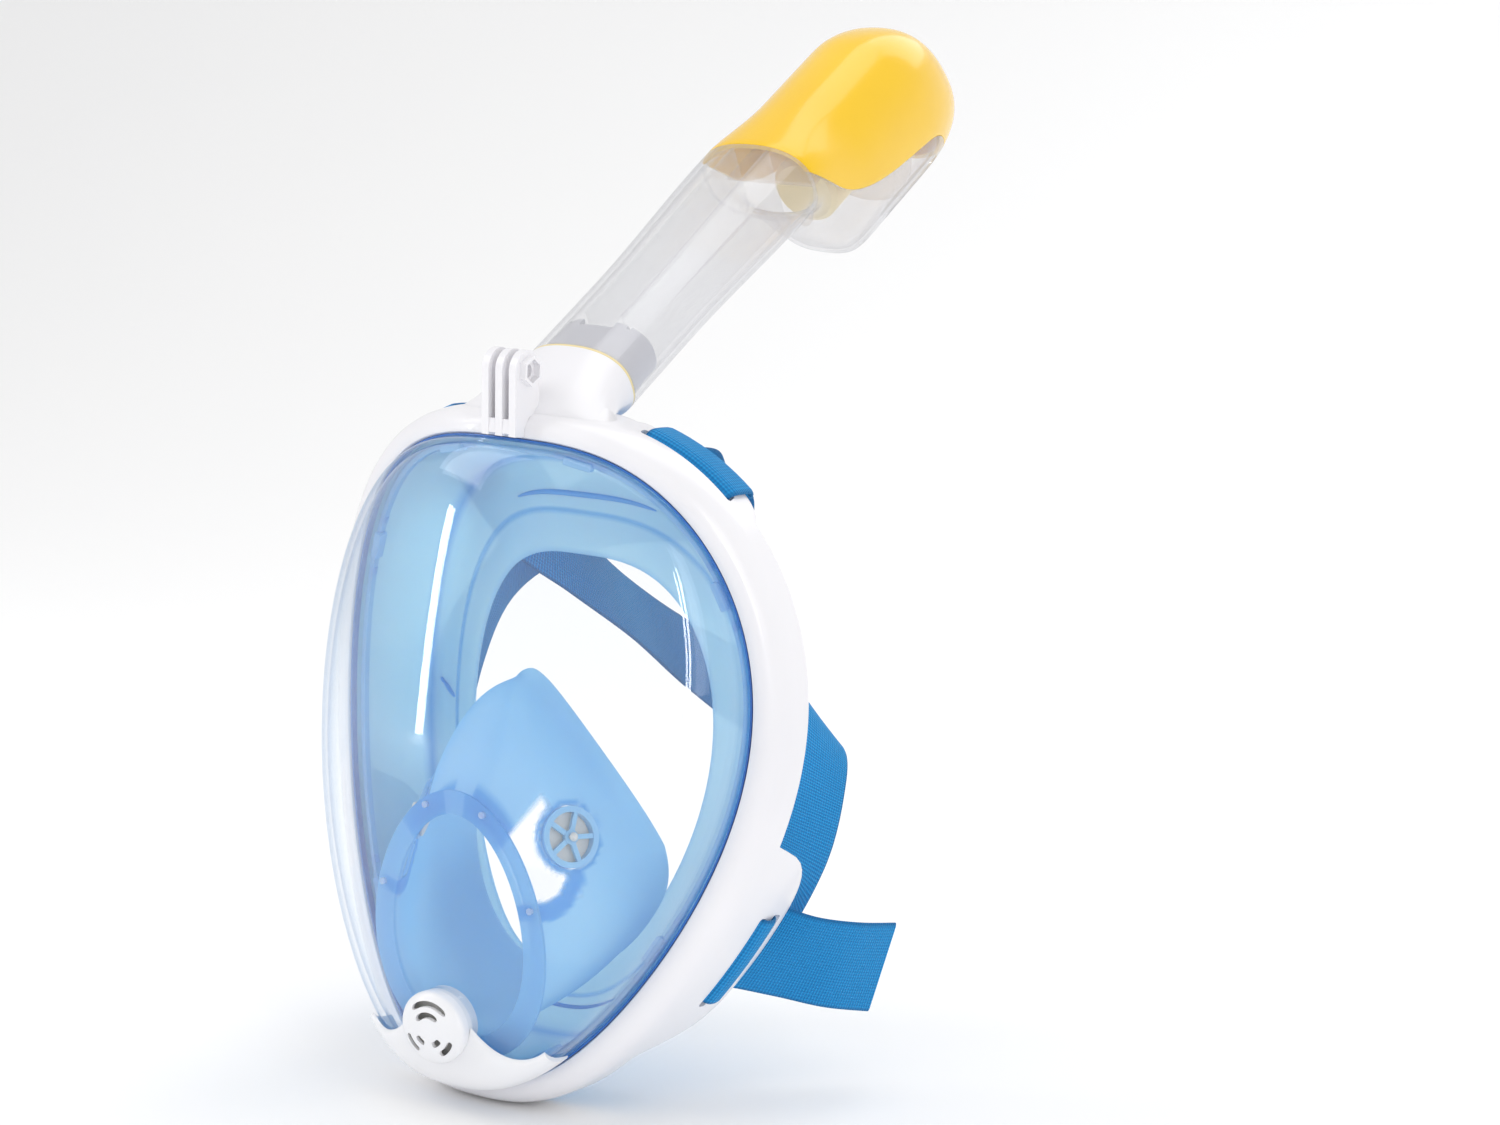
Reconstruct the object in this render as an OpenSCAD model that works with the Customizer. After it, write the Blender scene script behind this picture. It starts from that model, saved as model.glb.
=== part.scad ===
// Full-face snorkel mask: panoramic lens, soft face skirt, breathing pocket,
// pull-off dry-top snorkel, chin drain valve, camera mount and head straps.
// Origin: centre of the face opening. +Z up as worn, -Y forwards, all in mm.

/* [Mask body] */
// half width of the lens opening at its widest
opening_half_width = 89; // [87:0.5:91]
// half height of the lens opening
opening_half_height = 118.5; // [116:0.5:121]
// how much wider the opening is above its middle
egg_shape = 0.187; // [0.16:0.005:0.21]
// how far the lens rim stands ahead of the face seal
rim_setback = 55; // [53:0.5:57]
// how far the lens bulges ahead of its rim
lens_bulge = 31; // [29:0.5:33]
// how sharp the edge between lens face and lens side is
lens_edge_sharpness = 6; // [5:0.5:7]
// lens wall thickness
lens_wall = 2; // [1.8:0.1:2.2]
// depth of the frame behind the lens rim at the sides
frame_depth = 22; // [20:0.5:24]

/* [Face seal] */
// half width of the face opening
face_half_width = 54; // [52:0.5:56]
// half height of the face opening
face_half_height = 79; // [77:0.5:81]
// height of the middle of the face opening
face_mid_height = -7; // [-8:0.5:-6]

/* [Snorkel] */
// how far the snorkel leans back from upright
snorkel_lean = 58; // [56:0.5:60]
// half width of the tube at its base
tube_half_width = 23.3; // [23:0.1:23.8]
// half depth of the tube at its base
tube_half_depth = 15.6; // [15.4:0.1:16]
// clear tube length from seal to float chamber
tube_length = 140; // [136:1:144]
// tube wall thickness
tube_wall = 2.1; // [2:0.1:2.2]
// depth of the float chamber towards the back
chamber_back = 56; // [54:0.5:57]

/* [Valves] */
// radius of the chin drain cover
drain_radius = 13.8; // [13.6:0.1:14.2]
// radius of the membrane under the chin drain cover
drain_membrane_radius = 11.2; // [10.8:0.1:11.4]
// outer radius of the pocket valve seat
inhale_seat_radius = 11.4; // [11:0.1:11.8]

/* [Fittings] */
// bore radius of the camera mount
camera_bore = 2.5; // [2.4:0.05:2.6]
// webbing width
strap_width = 38; // [36:1:38]
// webbing thickness
strap_thickness = 1.6; // [1.4:0.1:1.7]

/* [Hidden] */
around = 64;
tube_sides = 40;
end_bow = 0.0004;
side_bow = 0.0033;
flat_sides = 0.14;
lens_tilt = 0.05;
lens_round_x = 140;
lens_round_z = 700;
ear_at = 119;
tab_at = 35;
ear_turn = 0.418;
tab_turn = 0.505;
neck_y = -16.4;
neck_z = 138.4;
chin_z = -95;
chin_tilt = 8;

// ---------- outline of the lens opening, s in degrees from the brow ----------
function sign_of(v) = v < 0 ? -1 : 1;
function flat_cos(s) = sign_of(cos(s)) * sqrt(max(0, 1 - pow(abs(sin(s)), 3)));
function rim_x(s) = opening_half_width * sin(s)
  * (1 + egg_shape * flat_cos(s) - flat_sides * pow(flat_cos(s), 2));
function rim_z(s) = opening_half_height * flat_cos(s);
function rim_y(x, z) = -rim_setback + side_bow * x * x - end_bow * z * z;
function rim_run(s) = [rim_x(s + 1) - rim_x(s - 1), rim_z(s + 1) - rim_z(s - 1)];
function rim_out(s) = let (t = rim_run(s) / norm(rim_run(s))) [-t[1], t[0]];
function rim_flat(s, o) = [rim_x(s) + o * rim_out(s)[0], rim_z(s) + o * rim_out(s)[1]];
// point at o outside the rim line and d behind it
function on_rim(s, o, d) = let (p = rim_flat(s, o))
  [p[0], rim_y(rim_x(s), rim_z(s)) + d, p[1]];

// ---------- lens surface ----------
function lens_face(x, z) = -rim_setback - lens_bulge + lens_tilt * z
  + x * x / (2 * lens_round_x) + z * z / (2 * lens_round_z);
function superside(u) = pow(max(0, 1 - pow(u, lens_edge_sharpness)), 1 / lens_edge_sharpness);
// u runs from the middle to the rim, w from the lens face back to the seat
function lens_at(s, u, w, o, ahead, seat) = let (
    q = rim_flat(s, o),
    x = u * q[0],
    z = u * q[1],
    drop = rim_y(rim_x(s), rim_z(s)) + seat - lens_face(q[0], q[1]) + ahead
  ) [x, lens_face(x, z) - ahead + drop * (1 - w), z];
face_rows = [for (u = [0.3, 0.55, 0.72, 0.83, 0.9, 0.95, 0.98]) [u, superside(u)]];
side_rows = [for (w = [0.55, 0.36, 0.18, 0]) [superside(w), w]];
lens_rows = concat(face_rows, side_rows);
// rim angle whose direction from the middle passes through x, z
function find_s(x, z, low = 0, high = 180, n = 22) = n == 0 ? (low + high) / 2
  : let (m = (low + high) / 2)
    rim_x(m) * z > rim_z(m) * x ? find_s(x, z, m, high, n - 1) : find_s(x, z, low, m, n - 1);
function back_of_lens(x, z) = let (
    s = find_s(abs(x), z),
    q = rim_flat(s, -0.4 - lens_wall),
    u = norm([x, z]) / norm(q)
  ) lens_at(s, min(u, 0.999), superside(min(u, 0.999)), -0.4 - lens_wall, -lens_wall,
    2.2 + lens_wall)[1];

// ---------- mesh helpers ----------
function unit(v) = v / norm(v);
function ring_faces(n, m) = [
  for (i = [0 : n - 1])
    for (j = [0 : m - 1])
      let (a = i * m + j, b = ((i + 1) % n) * m + j)
        let (c = ((i + 1) % n) * m + (j + 1) % m, d = i * m + (j + 1) % m)
          each [[a, c, b], [a, d, c]]
];
function row_faces(n, m) = [
  for (i = [0 : n - 2])
    for (j = [0 : m - 1])
      let (a = i * m + j, b = (i + 1) * m + j)
        let (c = (i + 1) * m + (j + 1) % m, d = i * m + (j + 1) % m)
          each [[a, c, b], [a, d, c]]
];
function plate_ends(n, m) = [
  for (j = [0 : m / 2 - 2])
    let (k = m - 1 - j, e = (n - 1) * m)
      each [[j, k, j + 1], [j + 1, k, k - 1], [e + j, e + j + 1, e + k], [e + j + 1, e + k - 1, e + k]]
];
function six_volumes(p, f) = [for (t = f) p[t[0]] * cross(p[t[1]], p[t[2]])] * [for (t = f) 1];
// a closed mesh with its faces turned outwards
module outward(p, f) {
  polyhedron(p, six_volumes(p, f) < 0 ? f : [for (t = f) [t[0], t[2], t[1]]]);
}
// closed loop of sections
module ring_loft(loops) {
  outward([for (l = loops) each l], ring_faces(len(loops), len(loops[0])));
}
// flat plate or strap, each loop has its upper half then its lower half reversed
module plate_loft(loops) {
  n = len(loops);
  m = len(loops[0]);
  outward([for (l = loops) each l], concat(row_faces(n, m), plate_ends(n, m)));
}
// rows between two end points
module pole_loft(first, rows, last) {
  n = len(rows);
  m = len(rows[0]);
  e = n * m;
  outward(
    concat([for (r = rows) each r], [first, last]),
    concat(
      row_faces(n, m),
      [for (j = [0 : m - 1]) [e, (j + 1) % m, j]],
      [for (j = [0 : m - 1]) [e + 1, e - m + j, e - m + (j + 1) % m]]
    )
  );
}
steps = [for (i = [0 : around - 1]) -180 + i * 360 / around];

// ---------- frame ----------
function bump(v, mid, half, top) = let (q = (abs(v) - mid) / half)
  abs(q) >= 1 ? 0 : top * (1 - pow(q, 6));
function depth_at(s) = frame_depth + bump(s, ear_at, 20, 33) + bump(s, tab_at, 15, 8)
  + bump(s, 0, 24, 10);
function frame_loop(s) = let (d = depth_at(s)) [
  on_rim(s, 0.6, 1.2),
  on_rim(s, 0.6, -0.6),
  on_rim(s, 1.6, -1.6),
  on_rim(s, 4.5, -1.4),
  on_rim(s, 8.2, 1.0),
  on_rim(s, 10.4, 6.0),
  on_rim(s, 11, 12),
  on_rim(s, 11, d - 1),
  on_rim(s, 10.4, d),
  on_rim(s, 9, d),
  on_rim(s, 8.4, d - 1),
  on_rim(s, 8.4, 12),
  on_rim(s, 7.6, 6.5),
  on_rim(s, 5.6, 3.2),
  on_rim(s, 3.4, 1.9)
];

// ---------- snorkel frame: z along the tube, y towards its back ----------
module along_snorkel() {
  translate([0, neck_y, neck_z]) rotate([-snorkel_lean, 0, 0]) children();
}
function soft(v, a, b) = let (t = min(1, max(0, (v - a) / (b - a)))) t * t * (3 - 2 * t);
function oval_power(v) = sign_of(v) * pow(abs(v), 2 / 2.4);
// oval ring at height s, half width a, front reach f, back reach b
function oval(a, f, b, s, sides = tube_sides) = [
  for (i = [0 : sides - 1])
    let (t = i * 360 / sides)
      [a * oval_power(cos(t)), (b - f) / 2 + (b + f) / 2 * oval_power(sin(t)), s]
];
function tube_a(s) = tube_half_width + 3 * soft(s, 45, tube_length);
function tube_b(s) = tube_half_depth + 2.2 * soft(s, 45, tube_length);
module oval_pipe(heights, inset) {
  outer = [for (s = heights) oval(tube_a(s), tube_b(s), tube_b(s), s)];
  inner = [for (s = heights)
    oval(tube_a(s) - inset, tube_b(s) - inset, tube_b(s) - inset, s)];
  n = len(heights);
  ring = [for (i = [0 : tube_sides - 1])
    concat([for (k = [0 : n - 1]) outer[k][i]], [for (k = [n - 1 : -1 : 0]) inner[k][i]])];
  ring_loft(ring);
}
// straight oval bar between two heights
module oval_bar(a, b, low, high) {
  solid_rows([oval(a, b, b, low), oval(a, b, b, high)]);
}
module solid_rows(rows) {
  n = len(rows);
  m = len(rows[0]);
  first = [for (k = [0 : 2]) (rows[0][0][k] + rows[0][m / 2][k]) / 2];
  last = [for (k = [0 : 2]) (rows[n - 1][0][k] + rows[n - 1][m / 2][k]) / 2];
  pole_loft(first, rows, last);
}
// neck: from a level oval on the frame top to the tilted tube ring
function neck_row(v, a, b) = let (
    lean = snorkel_lean * soft(v, 0, 1),
    y = -43 + (neck_y + 43) * v,
    z = 125.4 + (neck_z - 125.4) * (v < 0 ? v : pow(v, 0.85)),
    d = [0, sin(lean), cos(lean)],
    n = [0, cos(lean), -sin(lean)]
  ) [for (p = oval(a, b, b, 0)) [p[0], y + p[1] * n[1], z + p[1] * n[2]]];

module frame_shell() {
  color([0.95, 0.95, 0.96])
  difference() {
    union() {
      ring_loft([for (s = steps) frame_loop(s)]);
      solid_rows([for (v = [0, 0.2, 0.4, 0.6, 0.8, 1])
        neck_row(v, tube_half_width + 4 * pow(1 - v, 2), tube_half_depth - 1.6 * (1 - v))]);
    }
    // air way through the neck
    solid_rows([for (v = [-0.3, 0, 0.25, 0.5, 0.75])
      neck_row(v, 18, 10 + 2 * v)]);
    along_snorkel() oval_bar(tube_half_width - 2.1, tube_half_depth - 2.1, -13.4, 6);
    // slots for the upper strap ends
    for (m = [-1, 1]) strap_slot(m * tab_at, 15.6, 21.4);
    // two slots and a bar for each lower strap end
    for (m = [-1, 1]) strap_slot(m * ear_at, 35.2, 40.6);
    for (m = [-1, 1]) strap_slot(m * ear_at, 44.6, 50.4);
    // lower face of the snorkel seal
    along_snorkel() translate([0, 0, 4.1]) cube([60, 50, 10], center = true);
  }
}
// axes at a rim spot: x along the rim, y to the back, z outwards
module at_rim(s, o, d) {
  p = on_rim(s, o, d);
  n = rim_out(s);
  run = unit(on_rim(s + 9, o, d) - on_rim(s - 9, o, d));
  out = unit([n[0], 0, n[1]] - run * (run * [n[0], 0, n[1]]));
  back = cross(out, run);
  multmatrix([
    [run[0], back[0], out[0], p[0]],
    [run[1], back[1], out[1], p[1]],
    [run[2], back[2], out[2], p[2]],
    [0, 0, 0, 1]
  ]) children();
}
module strap_slot(s, near, far) {
  at_rim(s, 10, (near + far) / 2) cube([strap_width + 3.4, far - near, 15], center = true);
}

// ---------- lens and its seals ----------
function on_chin() = let (u = abs(chin_z) / opening_half_height)
  lens_at(180, u, superside(u), -0.4, 0, 2.2)[1];
module at_chin() {
  translate([0, on_chin(), chin_z]) rotate([90 + chin_tilt, 0, 0]) children();
}
function lens_shell_row(r, o, ahead, seat) = [for (s = steps) lens_at(s, r[0], r[1], o, ahead, seat)];
module visor_lens() {
  n = len(lens_rows);
  color([0.86, 0.93, 0.98, 0.35])
  difference() {
    pole_loft(
      [0, lens_face(0, 0), 0],
      concat(
        [for (r = lens_rows) lens_shell_row(r, -0.4, 0, 2.2)],
        [[for (s = steps) on_rim(s, 2.6, 2.2)], [for (s = steps) on_rim(s, 2.6, 2.2 + lens_wall)]],
        [for (k = [n - 1 : -1 : 0])
          lens_shell_row(lens_rows[k], -0.4 - lens_wall, -lens_wall, 2.2 + lens_wall)]
      ),
      [0, lens_face(0, 0) + lens_wall, 0]
    );
    at_chin() cylinder(r = drain_radius - 0.6, h = 30, center = true, $fn = 64);
    for (p = rivet_spots) translate([p[0], back_of_lens(p[0], p[1]), p[1]])
      rotate([90, 0, 0]) cylinder(r = 1.3, h = 2.4, center = true, $fn = 24);
  }
}
module lens_seal() {
  color([0.16, 0.44, 0.75])
  ring_loft([for (s = steps)
    [on_rim(s, -0.25, -0.9), on_rim(s, 0.45, -0.9), on_rim(s, 0.45, 1.9), on_rim(s, -0.25, 2.0)]]);
}
clip_spots = [-150, -118, -60, -18, 18, 60, 118, 150];
module clip_ring() {
  color([0.55, 0.76, 0.93])
  union() {
    ring_loft([for (s = steps)
      [on_rim(s, -4.6, 1.2), on_rim(s, -2.8, 1.2), on_rim(s, -2.8, 4.2), on_rim(s, -4.6, 4.2)]]);
    for (s = clip_spots) {
      at_rim(s, -4.9, 1.6) cube([11, 4.4, 3], center = true);
    }
  }
}

// ---------- skirt ----------
function face_x(s) = face_half_width * sin(s) * (1 + 0.16 * flat_cos(s) - 0.1 * pow(flat_cos(s), 2));
function face_z(s) = face_mid_height + face_half_height * flat_cos(s);
function face_y(x) = -8 + 0.0042 * x * x;
// f = 0 at the rim, 1 at the edge of the face opening; y measured from the face
function on_face(s, f, dy) = let (
    x = rim_x(s) * (1 - f) + face_x(s) * f,
    z = rim_z(s) * (1 - f) + face_z(s) * f
  ) [x, face_y(x) + dy, z];
function halfway(a, b, t, o, s) = let (n = rim_out(s))
  [a[0] * (1 - t) + b[0] * t + o * n[0], a[1] * (1 - t) + b[1] * t, a[2] * (1 - t) + b[2] * t + o * n[1]];
function skirt_loop(s) = let (
    a = on_rim(s, -0.8, 9),
    b = on_face(s, 0.16, -6)
  ) [
  on_rim(s, 3.4, 4.5),
  on_rim(s, 3.4, 8),
  a,
  halfway(a, b, 0.5, 1.0, s),
  b,
  on_face(s, 0.3, -1.4),
  on_face(s, 0.6, 0),
  on_face(s, 0.97, 0.3),
  on_face(s, 1, -0.7),
  on_face(s, 0.95, -1.6),
  on_face(s, 0.6, -2.2),
  on_face(s, 0.34, -3.8),
  on_face(s, 0.22, -8.4),
  halfway(a, b, 0.5, -1.2, s),
  on_rim(s, -2.9, 9),
  on_rim(s, -2.9, 4.5)
];
module face_skirt() {
  color([0.55, 0.77, 0.93, 0.8])
  difference() {
    ring_loft([for (s = steps) skirt_loop(s)]);
    // air port under the neck
    translate([0, -45.5, 120]) rotate([0, 0, 0]) cube([26, 8, 16], center = true);
  }
}

// ---------- breathing pocket ----------
rivet_spots = [for (t = [-76, -24, 24, 76]) [mouth_x(t, 4.6), mouth_z(t, 4.6)]];
function mouth_x(t, o) = (30.5 + o) * sin(t) * (1 - 0.12 * cos(t));
function mouth_z(t, o) = -60 + (44 + o) * cos(t);
function mouth_pt(t, o, back) = let (x = mouth_x(t, o), z = mouth_z(t, o))
  [x, back_of_lens(x, z) + back, z];
// 1 where the upper rim is drawn in beside the nose, 0 elsewhere
function pinch(t) = let (q = t <= 180 ? t : 360 - t)
  t < 0 ? pinch(-t) : (q < 115 ? pow(sin(q * 180 / 115), 1.5) : 0);
function nose_pt(t, o) = let (
    c = cos(t),
    e = pinch(t),
    x = (48 + o) * sin(t) * (1 - 0.2 * max(0, c)) - sign_of(sin(t)) * 9 * e
  ) [x, -9 + 0.0025 * x * x - 29 * pow(max(0, c), 3) - 3 * max(0, -c) - 6 * e,
     -28 + (60 + o) * c - 10 * e];
function pocket_pt(t, v, o) = let (
    m = mouth_pt(t, o, 1.9),
    n = nose_pt(t, o),
    b = (7 + 7 * max(0, cos(t))) * (1 - 0.1 * pinch(t)) * pow(abs(sin(180 * v)), 1.5)
  ) [m[0] * (1 - v) + n[0] * v + b * sin(t), m[1] * (1 - v) + n[1] * v,
     m[2] * (1 - v) + n[2] * v + b * max(0, cos(t))];
function pocket_loop(t) = concat(
  [mouth_pt(t, 7.4, 0.35), mouth_pt(t, 7.4, 1.9)],
  [for (v = [0.02, 0.15, 0.3, 0.45, 0.6, 0.75, 0.9, 1]) pocket_pt(t, v, 0)],
  [for (v = [1, 0.9, 0.75, 0.6, 0.45, 0.3, 0.15, 0.02]) pocket_pt(t, v, -1.5)],
  [mouth_pt(t, -1.5, 0.35)]
);
valve_turn = 61;
valve_run = 0.36;
valve_spot = pocket_pt(valve_turn, valve_run, -0.75);
valve_way = unit(cross(pocket_pt(valve_turn + 4, valve_run, 0) - pocket_pt(valve_turn - 4, valve_run, 0),
  pocket_pt(valve_turn, valve_run + 0.05, 0) - pocket_pt(valve_turn, valve_run - 0.05, 0)));
module at_valve(m) {
  w = valve_way * sign_of(valve_way[0]);
  translate([m * valve_spot[0], valve_spot[1], valve_spot[2]])
    rotate([0, acos(w[2]), atan2(w[1], m * w[0])]) children();
}
module nose_pocket() {
  color([0.5, 0.74, 0.92, 0.8])
  difference() {
    ring_loft([for (i = [0 : 47]) pocket_loop(i * 7.5)]);
    for (m = [-1, 1]) at_valve(m)
      cylinder(r = inhale_seat_radius + 0.2, h = 16, center = true, $fn = 48);
    for (p = rivet_spots) translate([p[0], back_of_lens(p[0], p[1]), p[1]])
      rotate([90, 0, 0]) {
        cylinder(r = 1.3, h = 12, center = true, $fn = 24);
        translate([0, 0, -5]) cylinder(r = 2.3, h = 2.8, $fn = 24);
      }
  }
}
module pocket_rivets() {
  color([0.85, 0.9, 0.95])
  for (p = rivet_spots) translate([p[0], back_of_lens(p[0], p[1]), p[1]]) rotate([-90, 0, 0]) {
    translate([0, 0, -0.9]) cylinder(r = 1.25, h = 3.6, $fn = 24);
    translate([0, 0, 2.4]) cylinder(r1 = 2.1, r2 = 1.6, h = 1.1, $fn = 32);
  }
}

// ---------- pocket inhale valves ----------
module inhale_seat(m) {
  color([0.93, 0.95, 0.97])
  at_valve(m) {
    difference() {
      union() {
        difference() {
          cylinder(r = inhale_seat_radius, h = 3.6, center = true, $fn = 64);
          cylinder(r = 9.2, h = 5, center = true, $fn = 64);
        }
        translate([0, 0, 0.6]) cylinder(r = 2.7, h = 2.4, center = true, $fn = 32);
        for (k = [0 : 4]) rotate([0, 0, 90 + 72 * k])
          translate([1.5, -0.9, -0.2]) cube([8.4, 1.8, 1.6]);
      }
      cylinder(r = 1.05, h = 8, center = true, $fn = 32);
    }
  }
}
module inhale_seat_right() {
  inhale_seat(1);
}
module inhale_seat_left() {
  inhale_seat(-1);
}
module inhale_flap(m) {
  color([0.8, 0.87, 0.93, 0.8])
  at_valve(m) {
    translate([0, 0, -2.7]) cylinder(r = 9.9, h = 0.7, $fn = 64);
    translate([0, 0, -2.2]) cylinder(r = 1.0, h = 6.1, $fn = 32);
    translate([0, 0, 3.5]) cylinder(r1 = 1.7, r2 = 1.0, h = 1, $fn = 32);
  }
}
module inhale_flap_right() {
  inhale_flap(1);
}
module inhale_flap_left() {
  inhale_flap(-1);
}

// ---------- chin drain valve ----------
module drain_seat() {
  color([0.93, 0.94, 0.96])
  at_chin() difference() {
    union() {
      difference() {
        translate([0, 0, -4.4]) cylinder(r = drain_radius - 0.85, h = 6, $fn = 64);
        translate([0, 0, -6]) cylinder(r = drain_radius - 3.4, h = 10, $fn = 64);
      }
      translate([0, 0, -1.6]) cylinder(r = 3.2, h = 2, $fn = 32);
      for (k = [0 : 5]) rotate([0, 0, 30 + 60 * k])
        translate([1.8, -0.8, -1.6]) cube([drain_radius - 4.6, 1.6, 1.8]);
    }
    cylinder(r = 1.55, h = 12, center = true, $fn = 32);
  }
}
module drain_membrane() {
  color([0.7, 0.82, 0.9])
  at_chin() {
    translate([0, 0, 1.75]) cylinder(r = drain_membrane_radius, h = 0.8, $fn = 64);
    translate([0, 0, -3.9]) cylinder(r = 1.5, h = 5.9, $fn = 32);
    translate([0, 0, -4.6]) cylinder(r = 2.3, h = 0.9, $fn = 32);
  }
}
module cover_slot(from, to, near, far) {
  rotate([0, 0, from]) rotate_extrude(angle = to - from, $fn = 96)
    translate([near, 4]) square([far - near, 12]);
}
function hill(s) = (cos(min(180, abs(s - 180) * 180 / 38)) + 1) / 2;
cover_cols = [for (i = [0 : 20]) 142 + i * 3.8];
function cover_path(s) = let (top = 0.965 - 0.26 * hill(s)) concat(
  [for (k = [0 : 5]) let (u = top + (0.985 - top) * k / 5) [u, superside(u)]],
  [for (w = [0.6, 0.45, 0.3]) [superside(w), w]]
);
function cover_loop(s) = let (
    path = cover_path(s),
    n = len(path)
  ) concat(
  [for (k = [0 : n - 1]) let (t = 0.5 + (1.4 + hill(s)) * sqrt(sin(180 * k / (n - 1))))
    lens_at(s, path[k][0], path[k][1], 0.4 + t, 0.8 + t, 2.2)],
  [for (k = [n - 1 : -1 : 0]) lens_at(s, path[k][0], path[k][1], 0.4, 0.8, 2.2)]
);
module drain_cover() {
  color([0.96, 0.96, 0.97])
  difference() {
    union() {
      difference() {
        plate_loft([for (s = cover_cols) cover_loop(s)]);
        at_chin() cylinder(r = drain_radius - 0.5, h = 40, center = true, $fn = 64);
      }
      at_chin() rotate_extrude($fn = 96) polygon([
        [drain_radius - 0.35, 1.9], [drain_radius, 5.2], [drain_radius - 1.2, 7.0],
        [drain_radius - 4.2, 8.3], [0, 9.0], [0, 7.4], [drain_radius - 4.6, 6.8],
        [drain_radius - 2.1, 5.8], [drain_radius - 1.7, 4.8], [drain_radius - 1.9, 1.9]
      ]);
    }
    at_chin() {
      cover_slot(48, 132, 8.9, 10.7);
      cover_slot(52, 142, 5.0, 6.8);
      for (m = [0, 1]) mirror([m, 0, 0]) {
        cover_slot(-62, -22, 8.9, 10.7);
        cover_slot(-72, -38, 5.0, 6.8);
      }
    }
  }
}

// ---------- camera mount ----------
module camera_mount() {
  color([0.95, 0.95, 0.96])
  difference() {
    union() {
      for (x = [-6, 0, 6]) translate([x - 1.5, -62, 144]) rotate([90, 0, 90])
        linear_extrude(3) union() {
          circle(r = 7.5, $fn = 64);
          polygon([[-7.5, 0], [7.5, 0], [8.5, -24], [-5.5, -24]]);
        }
      translate([-7.5, -67.5, 121]) cube([15, 14, 5.2]);
      translate([7.5, -62, 144]) rotate([0, 90, 0]) cylinder(r = 5.6, h = 2.6, $fn = 6);
    }
    translate([-20, -62, 144]) rotate([0, 90, 0])
      cylinder(r = camera_bore, h = 27.5, $fn = 48);
    translate([7.5, -62, 144]) rotate([0, 90, 0]) cylinder(r = 4.4, h = 4, $fn = 6);
    ring_loft([for (s = steps) mount_seat_loop(s)]);
  }
}
// the frame lip with a hair of room around it
function mount_seat_loop(s) = [
  on_rim(s, -14, 30),
  on_rim(s, -14, -14),
  on_rim(s, 0.4, -14),
  on_rim(s, 0.45, -0.7),
  on_rim(s, 1.55, -1.8),
  on_rim(s, 4.6, -1.6),
  on_rim(s, 8.35, 0.8),
  on_rim(s, 10.6, 5.9),
  on_rim(s, 11.2, 12),
  on_rim(s, 11.2, 30)
];

// ---------- snorkel foot ----------
module spigot() {
  color([0.84, 0.84, 0.87])
  along_snorkel() difference() {
    oval_bar(tube_half_width - 2.4, tube_half_depth - 2.4, -13, 21);
    oval_bar(tube_half_width - 4.4, tube_half_depth - 4.4, -20, 30);
    translate([0, -16, 20]) cube([15, 12, 7], center = true);
    translate([0, 16, 20]) cube([15, 12, 7], center = true);
    for (x = [-13, 13]) translate([x, -16, 21]) cube([1.6, 14, 4], center = true);
  }
}
module spigot_seal() {
  color([0.95, 0.86, 0.62])
  along_snorkel() difference() {
    oval_bar(tube_half_width - 0.15, tube_half_depth - 0.15, -0.8, 0.6);
    oval_bar(tube_half_width - 2.2, tube_half_depth - 2.2, -3, 3);
  }
}

// ---------- snorkel ----------
module snorkel_tube() {
  color([0.93, 0.95, 0.96, 0.35])
  along_snorkel() union() {
    oval_pipe([0.7, 45, 65, 90, 115, tube_length], tube_wall);
    for (x = [-8, 8]) partition(x);
  }
}
module partition(x) {
  heights = [24, 45, 65, 90, 115, tube_length - 0.6];
  plate_loft([for (s = heights) let (b = tube_b(s) - 1.5)
    [[x - 0.7, -b, s], [x + 0.7, -b, s], [x + 0.7, b, s], [x - 0.7, b, s]]]);
}
chamber_low = tube_length + 0.2;
chamber_top = 270;
head_rake = 0.38;
function chamber_back_at(s) = let (b = tube_b(s))
  b + (chamber_back - b) * soft(s, chamber_low + 2, chamber_low + 38);
chamber_heights = concat([for (k = [0 : 6]) chamber_low + k * 6.6], [196, 214, 228]);
dome_turns = [12, 25, 38, 50, 62, 74, 83];
function chamber_row(s, k, t) = let (
    f = tube_b(s) - t,
    b = chamber_back_at(s) - t,
    a = tube_a(s) - t
  ) [for (p = oval(a * k, f, b, s)) let (y = (b - f) / 2 + (p[1] - (b - f) / 2) * k)
    [p[0], y, s + head_rake * (y - 20) * soft(s, 186, 262)]];
function dome_row(q, t) = chamber_row(228 + (chamber_top - 228 - t) * sin(q), pow(cos(q), 0.62), t);
function shell_rows(t) = concat(
  [for (s = chamber_heights) chamber_row(s, 1, t)],
  [for (q = dome_turns) dome_row(q, t)]
);
function dome_tip(t) = [0, (chamber_back - tube_half_depth - 2.2) / 2, chamber_top - t - 0.2];
module chamber_shell() {
  outer = shell_rows(0);
  inner = shell_rows(2);
  n = len(outer);
  pole_loft(dome_tip(0), concat([for (k = [n - 1 : -1 : 0]) outer[k]], inner), dome_tip(2));
}
// side view of the part of the head that the cap covers
cap_edge = [[-24, 124], [-15, 132], [3, 150], [13, 160], [19, 170], [24, 184], [27.5, 200], [30.5, 220],
  [33, 234], [38, 242], [48, 248], [62, 252]];
module cap_zone(grow) {
  rotate([90, 0, 90]) translate([0, 0, -50]) linear_extrude(100)
    polygon(concat(
      [for (p = cap_edge) [p[0] + grow, p[1] - grow]],
      [[90, 260 - grow], [90, 320], [-60, 320], [-60, 124 - grow]]
    ));
}
module inlet_slots() {
  for (m = [-1, 1]) translate([0, 22, 0]) rotate([0, 0, -38 * m]) translate([0, 18, 0])
    rotate([-90, 0, 0]) {
      for (s = [196, 236]) translate([0, -s, 0]) cylinder(r = 3.4, h = 40, $fn = 32);
      translate([-3.4, -236, 0]) cube([6.8, 40, 40]);
    }
}
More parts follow.
